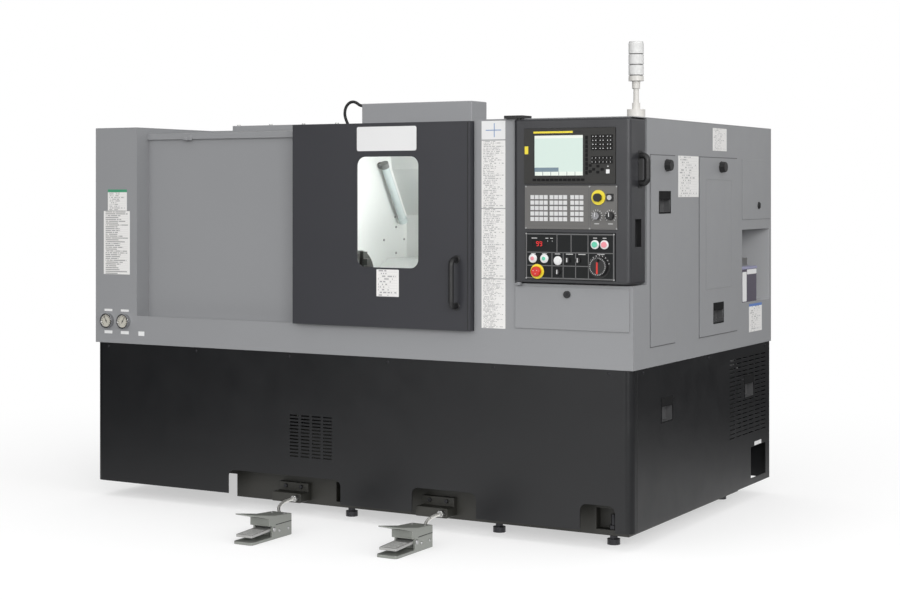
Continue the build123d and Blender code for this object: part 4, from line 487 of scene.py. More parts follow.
# Door: a dark folded tray with a round-cornered laminated pane and a black bow handle.
# A folded lip runs down its closing edge; a bare name plate and a ruled plate are stuck on it.
door_coat = coated("door_satin_coat", (0.033, 0.0335, 0.039), 0.42, edge=0.0025, drift=0.1, specular=0.35)
glass, tree, inputs = blank_material("laminated_pane")
smear = ramp(noise(tree, 25.0), 0.0, 1.0, 0.0, 0.03)
feed(inputs, {"Roughness": smear, "Base Color": (0.96, 0.985, 0.975, 1), "Transmission Weight": 1.0,
                    "IOR": 1.02})
dress("door_shell", door_coat)
dress("door_handle", moulded_black)
dress("door_window", glass)
door_low, door_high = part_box("door_shell")
door_front = door_low.y
door_lip = [slab((door_high.x - 0.012, door_front, 1.251), FRONT, 0.003, 0.838, 0.001)]
piece("door_closing_lip", door_lip, gasket, "door")
foot_rose = head_profile(-0.001, (0.0165, 0.003), (0.014, 0.005))
handle_feet = [turned((0.557, door_front, z), FRONT, foot_rose) for z in (0.926, 1.116)]
piece("door_handle_feet", handle_feet, moulded_black, "door")
name_plate = [slab((0.225, door_front, 1.6085), FRONT, 0.288, 0.101, 0.0012, 0.008)]
piece("door_name_plate", name_plate, plain_white, "door")
ruled_plate = [slab((0.231, door_front, 1.012), FRONT, 0.108, 0.112, 0.0008, 0.003)]
piece("door_ruled_plate", ruled_plate, printed("door_print", 10, 20, 0.45), "door")

# Drawer flap: a grey coated plate below the pod, hinged along its foot.
# A black round lock with a steel barrel holds it shut.
lock_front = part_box("drawer_flap")[0].y
flap_face = lock_front + 0.008
dress("drawer_flap", guard_coat, (moulded_black, lambda x, y, z: y < flap_face - proud))
lock_barrel = [turned((1.04, lock_front, 0.987), FRONT, head_profile(-0.001, (0.007, 0.0012)), 20)]
piece("flap_lock_barrel", lock_barrel, blued_steel, "flap")

# Pod: a dark folded sheet case with rounded edges, swung on a pinned upright hinge.
# Its right wall has a port recess and a black grab handle on a round-cornered plate.
pod_coat = coated("pod_satin_coat", (0.021, 0.0215, 0.025), 0.38, edge=0.003, drift=0.08, specular=0.5)
pod_low, pod_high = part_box("pod_shell")
port_depth, port_y, port_z = 0.026, (-0.47, -0.407), (1.17, 1.288)
bracket_top = 1.2
dress("pod_shell", pod_coat,
      (moulded_black, lambda x, y, z: (x > pod_high.x - port_depth) & (x < pod_high.x - proud)
       & (y > port_y[0]) & (y < port_y[1]) & (z > port_z[0]) & (z < port_z[1])))
dress("pod_hinge", moulded_black, (guard_coat, lambda x, y, z: z < bracket_top))
dress("pod_handle", moulded_black)
handle_plate = [slab((pod_high.x, -0.4195, 1.476), RIGHT, 0.042, 0.146, 0.0015, 0.01)]
piece("pod_handle_plate", handle_plate, moulded_black, "pod")
pod_vents = [slab((x, pod_low.y + 0.05, pod_high.z), TOP, 0.05, 0.006, 0.0008, 0.003)
             for x in (0.95, 1.02, 1.09, 1.16)]
piece("pod_top_vents", pod_vents, moulded_black, "pod")

# Display unit: a textured moulded plate with a sunk pale screen, set into the pod's front.
# Its keys are black rubber with white legends, and a yellow title bar runs above the screen.
bezel_coat = coated("display_bezel", (0.030, 0.0295, 0.028), 0.5, edge=0.0008, peel_scale=1500.0,
                    specular=0.3)
signal_yellow = coated("signal_yellow", (0.84, 0.68, 0.03), 0.35, edge=0.0006, drift=0.05)
print_white = coated("print_white", (0.62, 0.62, 0.62), 0.5, edge=0.0002)
key_rubber, tree, inputs = blank_material("legended_keys")
worn = calc("MULTIPLY", noise(tree, 60.0), 0.3)
feed(inputs, {"Base Color": blended(worn, (0.003, 0.003, 0.0032), (0.012, 0.012, 0.012)),
                    "Roughness": 0.6, "Specular IOR Level": 0.2})
key_rise = 0.0025
panel_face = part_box("display_unit")[0].y + key_rise
dress("display_unit", bezel_coat, (key_rubber, lambda x, y, z: y < panel_face - proud))


def mark(x, z, width, height, thick=0.0005, corner=0.0, lift=0.0):
    """A flat mark or plate on the panels' face, by its middle."""
    return slab((x, panel_face - lift, z), FRONT, width, height, thick, corner)


def frame_lines(x0, x1, z0, z1, line=0.0012):
    """Four thin strips round a rectangle of the panels' face."""
    across, up = (x0 + x1) / 2, (z0 + z1) / 2
    return [mark(across, z, x1 - x0, line) for z in (z0, z1)] + [mark(x, up, line, z1 - z0) for x in (x0, x1)]


screen, tree, inputs = blank_material("pale_screen")
chart = split_place(tree, "UV")
low_band = calc("LESS_THAN", chart["Y"], 0.2)
key_row = calc("LESS_THAN", chart["Y"], 0.095)
left_half = calc("LESS_THAN", chart["X"], 0.5)
cell_edge = calc("LESS_THAN", calc("FRACT", calc("MULTIPLY", chart["X"], 6.0)), 0.06)
title = calc("GREATER_THAN", chart["Y"], 0.93)
shade = blended(title, (0.60, 0.72, 0.66), (0.78, 0.82, 0.76))
shade = blended(calc("MULTIPLY", low_band, left_half), shade, (0.13, 0.2, 0.25))
shade = blended(key_row, shade, (0.76, 0.82, 0.75))
shade = blended(calc("MULTIPLY", key_row, cell_edge), shade, (0.1, 0.14, 0.16))
feed(inputs, {"Emission Color": shade, "Base Color": blended(0.5, shade, (0.0, 0.0, 0.0)),
                    "Emission Strength": 0.55, "Roughness": 0.2})
sunk_glass = -0.002
piece("display_screen", [mark(1.0145, 1.531, 0.21, 0.157, 0.0006, lift=sunk_glass)], screen, "pod")
piece("screen_rim", frame_lines(0.9075, 1.1215, 1.4505, 1.6115, 0.003), moulded_black, "pod")
title_z, title_height = 1.622, 0.0075
yellow_marks = [mark(0.991, title_z, 0.171, title_height), mark(0.875, 1.5525, 0.0155, 0.031, 0.001, 0.002)]
piece("display_yellow_marks", yellow_marks, signal_yellow, "pod")
piece("display_title_tab", [mark(1.0955, title_z, 0.034, title_height)], moulded_black, "pod")
reset_x = 1.226
piece("display_white_key", [mark(reset_x, 1.4675, 0.015, 0.016, key_rise, 0.0015)], plain_white, "pod")
key_pitch = 0.0155
legend_x = 1.201 + key_pitch * (np.arange(6) - 2.5)
legend_z = 1.58 + key_pitch * (np.arange(4) - 1.5)
legends = [mark(x + 0.0015 * (-1) ** i, z, 0.0042, 0.0036, lift=key_rise)
           for i, x in enumerate(legend_x) for z in legend_z]
legends += [mark(x - 0.002, z, 0.0015, 0.0055, lift=key_rise) for x in legend_x for z in (1.50425, 1.51975)]
legends += [mark(reset_x, 1.4875, 0.006, 0.004)]
piece("key_legends", legends, print_white, "pod")
cursor_places = ((1.151, 1.491), (1.151, 1.468), (1.166, 1.476), (1.202, 1.476), (1.184, 1.488),
                 (1.184, 1.465))
cursor_keys = [mark(x, z, 0.012, 0.010, 0.0022, 0.0012) for x, z in cursor_places]
piece("cursor_keys", cursor_keys, key_rubber, "pod")

# Key panel: a textured grey plate held by small screws, with white moulded keys in a grid.
# A yellow ringed knob, a key switch and two override dials with printed scales stand on it.
panel_coat = coated("panel_textured_grey", (0.130, 0.127, 0.122), 0.5, edge=0.0008, peel_scale=1500.0)
key_white = coated("key_white", (0.66, 0.66, 0.66), 0.4, edge=0.0006, drift=0.05)
plate_edge = coated("plate_edge_grey", (0.11, 0.11, 0.115), 0.4, edge=0.0003)
brushed = coated("brushed_knob", (0.22, 0.22, 0.23), 0.35, edge=0.0008, metal=0.8)
ring, key_switch = (1.187, 1.367), (1.235, 1.367)
dials = ((1.179, 1.296), (1.237, 1.296))
keys_end = 1.14
ring_rise, knob_mark_rise = 0.0055, 0.0175


def raised(place, radius, rise=proud):
    """A test for the faces that stand proud of the panel, by a rise, within a circle about a place."""
    return lambda x, y, z: (y < panel_face - rise) & (np.hypot(x - place[0], z - place[1]) < radius)


dress("key_panel", panel_coat,
      (key_white, lambda x, y, z: (y < panel_face - proud) & (x < keys_end)),
      (signal_yellow, raised(ring, 0.031)), (moulded_black, raised(ring, 0.0165, ring_rise)),
      (bare_steel, raised(key_switch, 0.012)))
plates = frame_lines(0.8755, 1.145, 1.256, 1.4) + frame_lines(1.152, 1.2605, 1.248, 1.408)
piece("key_panel_plates", plates, plate_edge, "pod")
flat_screw = head_profile(-0.001, (0.0034, 0.0006), (0.0026, 0.0012))
screw_grids = (((0.8725, 1.1485, 1.2625), (1.2465, 1.4095)), ((0.8735, 1.2515), (1.0495, 1.2245)))
panel_screws = [turned((x, panel_face, z), FRONT, flat_screw, 12)
                for across, up in screw_grids for x in across for z in up]
piece("panel_screws", panel_screws, bare_steel, "pod")
switch_plate = [mark(*key_switch, 0.029, 0.029, 0.003, 0.002)]
piece("key_switch_plate", switch_plate, moulded_black, "pod")


def spoke(angle):
    """The outward and the sideways direction of a spoke at an angle of the front elevation."""
    return np.array((cos(angle), 0, sin(angle))), np.array((sin(angle), 0, -cos(angle)))


def spoke_slab(hub, angle, reach, width, length, thick):
    """A thin slab along a spoke, its middle at a reach from the hub and its length outward."""
    out, side = spoke(angle)
    return slab(np.array(hub) + out * reach, np.array((side, out)), width, length, thick)


def scale_ticks(place, near, far, count, sweep, width, thick=0.0005):
    """White ticks from near to far, spread evenly over a sweep about the top of a dial."""
    hub = (place[0], panel_face, place[1])
    angles = radians(90) + np.linspace(-sweep / 2, sweep / 2, count)
    return [spoke_slab(hub, angle, (near + far) / 2, width, far - near, thick) for angle in angles]


dial_prints = [tick for dial in dials for tick in scale_ticks(dial, 0.0195, 0.025, 12, radians(270), 0.0022)]
dial_prints += [mark(x, 1.2655, 0.02, 0.003) for x, _ in dials]
piece("dial_scales", dial_prints, print_white, "pod")
for node, finish in (("feed_override_knob", brushed), ("spindle_override_knob", moulded_black)):
    dress(node, finish, (print_white, lambda x, y, z: y < panel_face - knob_mark_rise))

# Operator panel: a matt black plate ruled into cells by grey print and held by small screws.
# Lamps, selectors, push buttons, a red readout and the emergency stop sit in the cells.
signal_red = coated("signal_red", (0.62, 0.018, 0.01), 0.3, edge=0.001, drift=0.05)
signal_green = coated("signal_green", (0.1, 0.5, 0.33), 0.3, edge=0.001, drift=0.05, glow=0.15)
signal_pink = coated("signal_pink", (0.72, 0.24, 0.28), 0.3, edge=0.001, drift=0.05, glow=0.15)
operator_coat = coated("operator_black", (0.008, 0.009, 0.0095), 0.5, edge=0.0006, peel_scale=1500.0,
                       specular=0.2)
cell_grey = coated("cell_line_grey", (0.12, 0.12, 0.122), 0.5, edge=0.0002)
readout_red = coated("readout_red", (0.8, 0.02, 0.02), 0.4, edge=0.0002, glow=0.6)
start, hold, stop, wheel = (1.172, 1.185), (1.212, 1.185), (0.923, 1.076), (1.191, 1.101)
lamps, white_button = ((0.904, 1.127), (0.954, 1.127)), (1.013, 1.12)
selectors = ((1.056, 1.123), (1.101, 1.123), (1.013, 1.076))
ringed = (start, hold, *lamps, white_button)
base_rise = 0.0004
dress("operator_panel", operator_coat, (signal_yellow, raised(stop, 0.03, base_rise)),
      (moulded_black, raised(wheel, 0.047, base_rise)),
      *[(plain_white, raised(place, 0.0155, base_rise)) for place in ringed],
      *[(moulded_black, raised(place, 0.011, base_rise)) for place in selectors])
dress("emergency_stop", signal_red)
dress("cycle_start_button", signal_green)
dress("feed_hold_button", signal_pink)
left, right, low, high = 0.8745, 1.2505, 1.0505, 1.2235
upper_line, lower_line, lower_end, line = 1.1515, 1.0995, 1.1437, 0.0035
cell_lines = frame_lines(left, right, low, high, 0.005)
cell_lines += [mark((left + right) / 2, upper_line, right - left, line),
               mark((left + lower_end) / 2, lower_line, lower_end - left, line)]
cell_lines += [mark(x, (upper_line + high) / 2, line, high - upper_line) for x in (1.0085, 1.0695, 1.142)]
cell_lines += [mark(x, (low + upper_line) / 2, line, upper_line - low)
               for x in (0.9867, 1.0352, 1.089, lower_end)]
piece("operator_cells", cell_lines, cell_grey, "pod")
wheel_base, caption_height = 0.002, 0.0028
caption_rows = (
    (1.146, ((0.905, 0.02), (0.954, 0.02), (1.011, 0.022), (1.0625, 0.03), (1.116, 0.03))),
    (1.207, ((0.9645, 0.012), (0.985, 0.012), (0.91, 0.024))),
    (1.21, ((1.172, 0.016), (1.212, 0.016))),
    (1.1475, ((1.197, 0.03),)))
captions = [mark(x, z, width, caption_height) for z, row in caption_rows for x, width in row]
captions += scale_ticks(wheel, 0.0395, 0.0445, 9, radians(150), 0.0025, wheel_base + 0.0005)
captions += [mark(x, 1.196, 0.0035, 0.0035, 0.001, 0.0015) for x in (0.968, 0.988)]
captions += [mark(*place, 0.0035, 0.017, 0.004, lift=0.009) for place in selectors]
piece("operator_captions", captions, print_white, "pod")
white_ring = ((0.0118, -0.0002), (0.0175, -0.0002), (0.0175, 0.0035), (0.0165, 0.0045), (0.0118, 0.0045))
button_rings = [turned((x, panel_face, z), FRONT, white_ring, 32) for x, z in ringed]
piece("button_rings", button_rings, plain_white, "pod")
lamp_lens = head_profile(-0.001, (0.0075, 0.001), (0.005, 0.0022), crown=0.0026)
for name, (x, z), finish in (("pink_lamp_lens", lamps[0], signal_pink),
                             ("green_lamp_lens", lamps[1], signal_green)):
    piece(name, [turned((x, panel_face - 0.008, z), FRONT, lamp_lens, 20)], finish, "pod")
bar_long, bar_wide, digit_half, digit_side, digit_quarter = 0.007, 0.0018, 0.0085, 0.0042, 0.0043
bars = [(0, dz, bar_long, bar_wide) for dz in (digit_half, 0, -digit_half)]
bars += [(dx, dz, bar_wide, bar_long) for dx, dz in (
    (digit_side, digit_quarter), (digit_side, -digit_quarter), (-digit_side, digit_quarter))]
digit_bars = [mark(x + dx, 1.185 + dz, width, height, 0.0006, lift=sunk_glass)
              for x in (0.922, 0.937) for dx, dz, width, height in bars]
piece("readout_digits", digit_bars, readout_red, "pod")
stop_face, arrow_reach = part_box("emergency_stop")[0].y, 0.009
stop_arrows = [slab((stop[0] + arrow_reach * cos(angle), stop_face, stop[1] + arrow_reach * sin(angle)),
                    FRONT, 0.0045, 0.0018, 0.0005) for angle in (0.6, 2.7, 4.8)]
piece("stop_head_marks", stop_arrows, print_white, "stop_button")

# Handwheel: a moulded black knob with flutes round its rim, over the white scale on its base.
# A red pointer bar and printed ticks lie on its face, and turn with its crank.
dress("handwheel", moulded_black)
wheel_face = panel_face - wheel_base - 0.0003 - 0.018
wheel_hub = (wheel[0], wheel_face, wheel[1])
pointer = [slab((wheel[0] - 0.002, wheel_face, wheel[1] - 0.006), FRONT, 0.007, 0.046, 0.0012, 0.002)]
piece("handwheel_pointer", pointer, signal_red, "handwheel")
tick_count, flute_count, flute_reach = 28, 20, 0.0368
wheel_ticks = [spoke_slab(wheel_hub, angle, 0.0325, 0.0022, 0.0045, 0.0004)
               for angle in np.arange(tick_count) * tau / tick_count]
piece("handwheel_ticks", wheel_ticks, print_white, "handwheel")
flutes = []
for angle in np.arange(flute_count) * tau / flute_count:
    out, side = spoke(angle)[0], np.array((0, -1, 0))
    at = np.array((wheel[0], wheel_face + 0.009, wheel[1])) + out * flute_reach
    flutes.append(slab(at, np.array((side, np.cross(out, side))), 0.013, 0.004, 0.0011, soft=0.5))
piece("handwheel_flutes", flutes, moulded_black, "handwheel")

# Lubricator: a tinted plastic oil tank under a pale lid, standing in the right guard's niche.
# A white pump and a steel fitting stand on the lid, and white strips are stuck on the tank.
oil_purple = coated("tinted_tank", (0.13, 0.118, 0.15), 0.18, edge=0.003, drift=0.3)
pale_lilac = coated("lilac_lid", (0.3, 0.3, 0.44), 0.35)
tank_low, tank_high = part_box("lubricator")
tank_top = tank_low.z + 0.148
lid_top, cap_foot, pump_end, cap_y = tank_top + 0.0105, tank_top + 0.0485, 0.781, 0.79
dress("lubricator", oil_purple, (pale_lilac, lambda x, y, z: z > tank_top - proud),
      (plain_white, lambda x, y, z: (z > lid_top) & (y < pump_end)),
      (bare_steel, lambda x, y, z: (z > lid_top) & (y > pump_end)),
      (oil_purple, lambda x, y, z: (z > cap_foot) & (y > cap_y)))
tank_x = tank_high.x - 0.003
level_strip = [slab((tank_x, 0.757, tank_low.z + 0.07), RIGHT, 0.05, 0.132, 0.0015, 0.004),
               slab((tank_x, 0.85, tank_low.z + 0.135), RIGHT, 0.12, 0.022, 0.0015, 0.004)]
piece("tank_level_strip", level_strip, plain_white, "machine")

# Pressure gauges: two chromed round cases on the front guard, each with an ivory dial.
# The dials have printed ticks and a black needle, and plain labels are stuck above and below.
chrome = coated("gauge_chrome", (0.5, 0.5, 0.51), 0.15, metal=1.0, peel=0.05)
ivory = coated("dial_ivory", (0.5, 0.48, 0.42), 0.4, edge=0.0003)
gauge_low, gauge_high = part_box("pressure_gauges")
gauge_radius, dial_face = 0.033, 0.0004
gauge_z, gauge_seat = (gauge_low.z + gauge_high.z) / 2, gauge_low.y + 0.004
gauges = (gauge_low.x + gauge_radius, gauge_high.x - gauge_radius)
dress("pressure_gauges", chrome)
dial = head_profile(-0.0005, (0.0275, dial_face))
gauge_dials = [turned((x, gauge_seat, gauge_z), FRONT, dial, 40) for x in gauges]
piece("gauge_dials", gauge_dials, ivory, "machine")
needle_hub = head_profile(0, (0.0035, 0.0012), crown=0.0014)
needles = []
for x, lean in zip(gauges, (radians(120), radians(60))):
    hub = (x, gauge_seat - dial_face, gauge_z)
    needles += [spoke_slab(hub, lean, 0.006, 0.0028, 0.034, 0.0006), turned(hub, FRONT, needle_hub, 16)]
    needles += [spoke_slab(hub, angle, 0.0225, 0.0022, 0.006, 0.0003)
                for angle in np.linspace(radians(-45), radians(225), 13)]
piece("gauge_needles_and_ticks", needles, moulded_black, "machine")
gauge_labels = [slab((x, front_y, gauge_z + rise), FRONT, 0.046, height, film)
                for rise, height in ((0.048, 0.010), (-0.052, 0.014)) for x in gauges]
piece("gauge_labels", gauge_labels, plain_white, "machine")

# Stack light: a pale moulded foot and pole on the roof.
# Three clear, finely ribbed tiers stand on it, parted by dark seals.
pale = coated("pale_plastic", (0.62, 0.605, 0.575), 0.35, edge=0.0015)
seal_grey = coated("seal_grey", (0.12, 0.12, 0.12), 0.5)
ribbed_lens, tree, inputs = blank_material("ribbed_clear_lens")
rib_pitch = 0.0035
rib_wave = calc("SINE", calc("MULTIPLY", split_place(tree, "Object")["Z"], tau / rib_pitch))
ribs = add(tree, "ShaderNodeBump", {"Height": rib_wave, "Strength": 0.5, "Distance": 0.0008}).outputs[0]
feed(inputs, {"Normal": ribs, "Roughness": 0.18,
                    "Base Color": blended(noise(tree, 30.0), (0.72, 0.72, 0.71), (0.78, 0.78, 0.77))})
lens_low, lens_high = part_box("stack_light_lenses")
lens_x, lens_y = (lens_low.x + lens_high.x) / 2, (lens_low.y + lens_high.y) / 2
seal_radius, lens_cap = 0.0268, 0.012
dress("stack_light_post", pale)
dress("stack_light_lenses", ribbed_lens,
      (seal_grey, lambda x, y, z: (np.hypot(x - lens_x, y - lens_y) < seal_radius)
       & (z < lens_high.z - lens_cap)))

# Foot switches: cast cases in hammered grey paint, screwed shut, with a dark joint below the hood.
# Ridged, worn treadles turn on pins in them; the boxes in the skirt's notches are bolted on.
hammered = coated("hammered_grey", (0.225, 0.235, 0.215), 0.33, drift=0.25, peel_scale=420.0, peel=0.7,
                  rubbed=0.5, metal=0.25)
worn_metal = coated("worn_treadle", (0.34, 0.34, 0.33), 0.38, drift=0.3, peel_scale=420.0, peel=0.6,
                    rubbed=0.6, metal=0.3)
case_backs = {"left_treadle": (-0.088, -0.8215), "right_treadle": (0.536, -0.7575)}
case_width, case_length, case_joint = 0.092, 0.110, 0.0565
joint_line, joint_thick = 0.003, 0.0006
sides = ((-1, LEFT), (1, RIGHT))
dress("pedal_cases", hammered,
      (bare_steel, lambda x, y, z: ((x < 0.2) & (y > -0.821)) | ((x > 0.2) & (y > -0.757))))
joints, case_screws = [], []
for case_x, case_back in case_backs.values():
    middle = case_back - case_length / 2
    joints += [slab((case_x + side * case_width / 2, middle, case_joint), facing, case_length, joint_line,
                    joint_thick) for side, facing in sides[::-1]]
    joints += [slab((case_x + dx, case_back, case_joint), BACK, 0.03, joint_line, joint_thick)
               for dx in (-0.03, 0.03)]
    case_screws += [turned((case_x + side * case_width / 2, case_back - inset, 0.03), facing, screw_head, 12)
                    for side, facing in sides for inset in (0.022, 0.085)]
    case_screws += [turned((case_x + dx, case_back - 0.03, 0.0876), TOP, screw_head, 12)
                    for dx in (-0.03, 0.03)]
piece("pedal_joints", joints, gasket, "machine")
piece("pedal_screws", case_screws, bare_steel, "machine")
treadle_run, treadle_rise = 149, 8
treadle_lean = np.array((0, treadle_run, treadle_rise)) / np.hypot(treadle_run, treadle_rise)
pin_head = head_profile(-0.001, (0.0036, 0.0002), (0.0095, 0.0002), (0.0095, 0.002), (0.007, 0.0045),
                        crown=0.0052)
for node, (case_x, case_back) in case_backs.items():
    dress(node, worn_metal)
    toe = np.array((case_x, case_back - 0.274 + 0.012, 0.037))
    ridges = [slab(toe + treadle_lean * along, np.array(((1, 0, 0), treadle_lean)), 0.062, 0.003, 0.0014,
                   soft=0.5) for along in np.arange(0.012, 0.1, 0.009)]
    piece(f"{node}_ridges", ridges, worn_metal, node)
    pin_heads = [turned((case_x + side * case_width / 2, case_back - case_length - 0.012, 0.04), facing,
                        pin_head) for side, facing in sides]
    piece(f"{node}_pin_heads", pin_heads, bare_steel, node)
bracket_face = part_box("pedal_brackets")[0].y + 0.030
dress("pedal_brackets", cast_coat, (bare_steel, lambda x, y, z: y < bracket_face - proud))
hex_bolt = head_profile(-0.001, (0.009, 0.006), (0.008, 0.0072))
bracket_bolts = [turned((x + dx, -0.4055, 0.112), FRONT, hex_bolt, 6)
                 for x in (-0.318, 0.405) for dx in (-0.04, 0.04)]
piece("bracket_bolts", bracket_bolts, blued_steel, "machine")


# Conduits: flexible steel hose from the boxes in the skirt's notches to the foot switches' glands.
# The route's points are the solid's own; the hose follows their smooth line.
def spline_points(name, route):
    """Points read along a NURBS curve of order 3 that has the route's points as its control points."""
    data = bpy.data.curves.new(name, "CURVE")
    data.dimensions = "3D"
    data.resolution_u = 48
    line = data.splines.new("NURBS")
    line.points.add(len(route) - 1)
    line.points.foreach_set("co", np.c_[route, np.ones(len(route))].ravel())
    line.order_u = 3
    line.use_endpoint_u = True
    carrier = put(name, data)
    bpy.context.view_layer.update()
    read = bpy.data.meshes.new_from_object(carrier.evaluated_get(bpy.context.evaluated_depsgraph_get()))
    points = np.empty(3 * len(read.vertices))
    read.vertices.foreach_get("co", points)
    bpy.data.objects.remove(carrier)
    return points.reshape(-1, 3)


def ribbed_hose(points, radius, pitch, square=(0, 0, 1), rib=0.0009, around=20):
    """Circles square to a smooth line, their radius rising and falling by one rib every pitch."""
    run = np.r_[0, np.cumsum(np.linalg.norm(np.diff(points, axis=0), axis=1))]
    at = np.linspace(0, run[-1], int(run[-1] / pitch * 6) + 1)
    line = np.stack([np.interp(at, run, points[:, k]) for k in range(3)], -1)
    along = np.gradient(line, axis=0)
    along /= np.linalg.norm(along, axis=1)[:, None]
    side = np.cross(along, square)
    side /= np.linalg.norm(side, axis=1)[:, None]
    above = np.cross(side, along)
    angle = np.arange(around) * tau / around
    size = radius - rib + rib * np.abs(np.cos(at * pi / pitch))
    circle = np.cos(angle)[None, :, None] * side[:, None] + np.sin(angle)[None, :, None] * above[:, None]
    return loft(line[:, None] + size[:, None, None] * circle)


conduit_steel = coated("conduit_steel", (0.7, 0.69, 0.66), 0.28, drift=0.3, peel_scale=300.0, metal=0.8)
hose_radius, hose_pitch = 0.007, 0.0042
left_shares = ((0, 0, 0), (0, 0.135, 0), (0.035, 0.295, 0.12), (0.115, 0.44, 0.48), (0.275, 0.56, 0.8),
               (0.49, 0.67, 0.94), (0.72, 0.775, 1), (0.9, 0.86, 1), (1, 0.945, 1), (1, 1, 1))
right_shares = ((0, 0, 0), (0, 0.16, 0), (0.015, 0.34, 0.17), (0.105, 0.505, 0.48), (0.34, 0.65, 0.77),
                (0.66, 0.78, 0.94), (0.92, 0.87, 1), (1, 0.94, 1), (1, 1, 1))
leaves, arrives = [], []
for side, leave, arrive, shares, length in (
        ("left", (-0.263, -0.4915, 0.074), (-0.088, -0.8015, 0.045), left_shares, 0.377),
        ("right", (0.460, -0.4915, 0.074), (0.536, -0.7375, 0.045), right_shares, 0.268)):
    route = np.array(leave) + (np.array(arrive) - leave) * shares
    name = f"{side}_hose"
    smooth_line = spline_points(name, route)
    leaves.append(leave)
    arrives.append(arrive)
    hose = piece(name, [ribbed_hose(smooth_line, hose_radius, hose_pitch)], conduit_steel, "machine")
    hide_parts(f"{side}_pedal_conduit")
nut = ((0.0075, 0.0), (0.0145, 0.0), (0.0145, 0.009), (0.0125, 0.0105), (0.0075, 0.0105))
gland_nuts = [turned((x, y + 0.012, z), FRONT, nut, 6) for x, y, z in leaves]
gland_nuts += [turned((x, y - 0.002, z), FRONT, nut, 6) for x, y, z in arrives]
piece("gland_nuts", gland_nuts, zinc, "machine")

# Roof conduit: a short stiff arch of black corrugated hose.
# It is clamped at the roof box and at the roof, and follows the solid's own route.
arch_foot, arch_reach, arch_rise, arch_pitch = np.array((-0.269, 0.0835, 1.68)), 0.104, 0.122, 0.004
arch_shares = np.array(((0, 0.83), (0.17, 0.83), (0.4, 0.98), (0.69, 1), (0.94, 0.81), (1, 0.52),
                        (0.89, 0.26), (0.79, 0.13), (0.79, 0)))
roof_route = arch_foot + np.stack((-arch_reach * arch_shares[:, 0], 0 * arch_shares[:, 0],
                                   arch_rise * arch_shares[:, 1]), -1)
roof_tube = ribbed_hose(spline_points("roof_line", roof_route), hose_radius, arch_pitch, square=(0, 1, 0))
roof_hose = piece("roof_hose", [roof_tube], moulded_black, "machine")
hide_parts("roof_conduit")


# Stage: a white floor that keeps the shadow and fades into a white surround.
# Soft panels of light stand in front, at the corner and at the side, and two small ones in the cabin.
# In mirror rays the floor is dimmer to the left, right and rear, and the surround to the left and rear.
def view_rays(tree):
    """Two masks from Light Path: the mirror rays, and the rays that show the surround itself."""
    path = add(tree, "ShaderNodeLightPath").outputs
    return path["Is Glossy Ray"], calc("MAXIMUM", path["Is Camera Ray"], path["Is Transmission Ray"])


def between(share, below, above):
    """A value part of the way between two: below + share x (above - below)."""
    return calc("ADD", calc("MULTIPLY", share, calc("SUBTRACT", above, below)), below)


EASED = "SMOOTHSTEP"
reach = 60.0
floor_mesh = bpy.data.meshes.new("floor")
floor_mesh.from_pydata([(-reach, -reach, 0), (reach, -reach, 0), (reach, reach, 0), (-reach, reach, 0)], [],
                       [(0, 1, 2, 3)])
floor = put("floor", floor_mesh)
floor_paint, tree, inputs = blank_material("floor_white")
spot = add(tree, "ShaderNodeNewGeometry").outputs["Position"]
place = add(tree, "ShaderNodeSeparateXYZ", {0: spot}).outputs
distance = add(tree, "ShaderNodeVectorMath", {0: spot}, operation="LENGTH").outputs["Value"]
far = ramp(distance, 1.6, 4.5, easing=EASED)
seen_level = calc("MULTIPLY_ADD", far, 0.48, 0.52)
mirror_front = ramp(place["X"], -2.8, 0.4, 0.01, 1.0, EASED)
mirror_back = ramp(place["Y"], 0.9, 3.4, 0.0, 0.98, EASED)
mirror_right = ramp(place["X"], 1.32, 1.45, 0.0, 0.8, EASED)
mirror_level = calc("SUBTRACT", calc("SUBTRACT", mirror_front, mirror_back), mirror_right)
mirror_level = calc("MAXIMUM", mirror_level, 0.02)
mirror_ray, seen = view_rays(tree)
glow = calc("MULTIPLY_ADD", mirror_ray, mirror_level, calc("MULTIPLY", seen, seen_level))
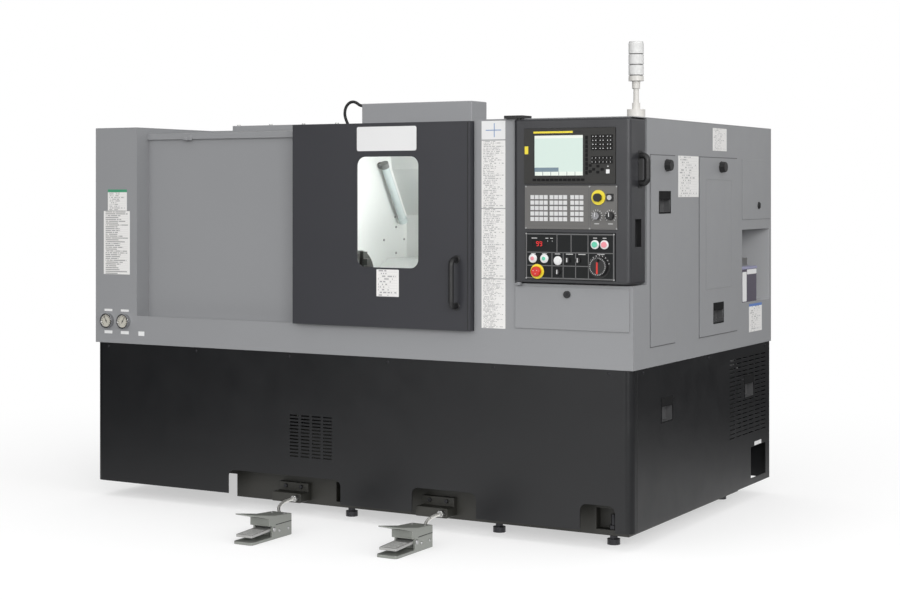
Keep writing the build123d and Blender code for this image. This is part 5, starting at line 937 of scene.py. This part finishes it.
feed(inputs, {"Base Color": blended(far, (0.5, 0.5, 0.5), (0.0, 0.0, 0.0)), "Roughness": 0.9,
                    "Specular IOR Level": 0.0, "Emission Strength": glow, "Emission Color": (1, 1, 1, 1)})
floor_mesh.materials.append(floor_paint)

world = bpy.data.worlds.new("studio")
bpy.context.scene.world = world
world.use_nodes = True
tree = world.node_tree
heading = split_place(tree, "Generated")
mirror_side = ramp(heading["X"], -0.75, -0.3, 0.02, 1.0, EASED)
mirror_rear = ramp(heading["Y"], 0.2, 0.8, 1.0, 0.85, EASED)
dome = ramp(heading["Z"], 0.0, 1.0, 0.45, 0.95)
mirror_ray, seen = view_rays(tree)
level = between(mirror_ray, dome, calc("MULTIPLY", mirror_side, mirror_rear))
level = between(seen, level, 1.0)
feed(tree.nodes["Background"].inputs, {"Strength": level, "Color": (1, 1, 1, 1)})


def soft_panel(name, at, aim, size, power):
    """A square area lamp that faces a point."""
    data = bpy.data.lights.new(name, "AREA")
    data.size = size
    data.energy = power
    lamp = put(name, data)
    lamp.location = at
    lamp.rotation_euler = (Vector(aim) - Vector(at)).to_track_quat("-Z", "Y").to_euler()


soft_panel("front_panel_lamp", (-1.0, -7.5, 2.8), (-0.2, 0, 1.0), 5.0, 150)
soft_panel("corner_panel_lamp", (9.0, -11.0, 4.0), (0.3, 0, 1.0), 6.0, 850)
soft_panel("side_panel_lamp", (6.5, -1.5, 3.0), (1.3, 0.3, 0.9), 4.0, 105)
soft_panel("cabin_lamp", (0.72, 0.12, 1.4), (-0.3, 0.3, 1.2), 0.4, 12)
soft_panel("low_cabin_lamp", (0.66, 0.0, 1.0), (-0.3, 0.25, 1.05), 0.3, 5)

# Camera: at the photograph's place, level and with no blur.
# Its frame is shifted down as a view camera's is, so that upright edges stay upright.
camera_data = bpy.data.cameras.new("camera")
camera_data.lens = 70.16
camera_data.sensor_width = 36.0
camera_data.shift_y = -0.1208
camera = put("camera", camera_data)
camera.location = (4.021, -6.6975, 1.391)
camera.rotation_euler = (radians(90), 0, radians(29.5))
bpy.context.scene.camera = camera
bpy.context.scene.view_settings.view_transform = "Standard"

bpy.context.view_layer.update()
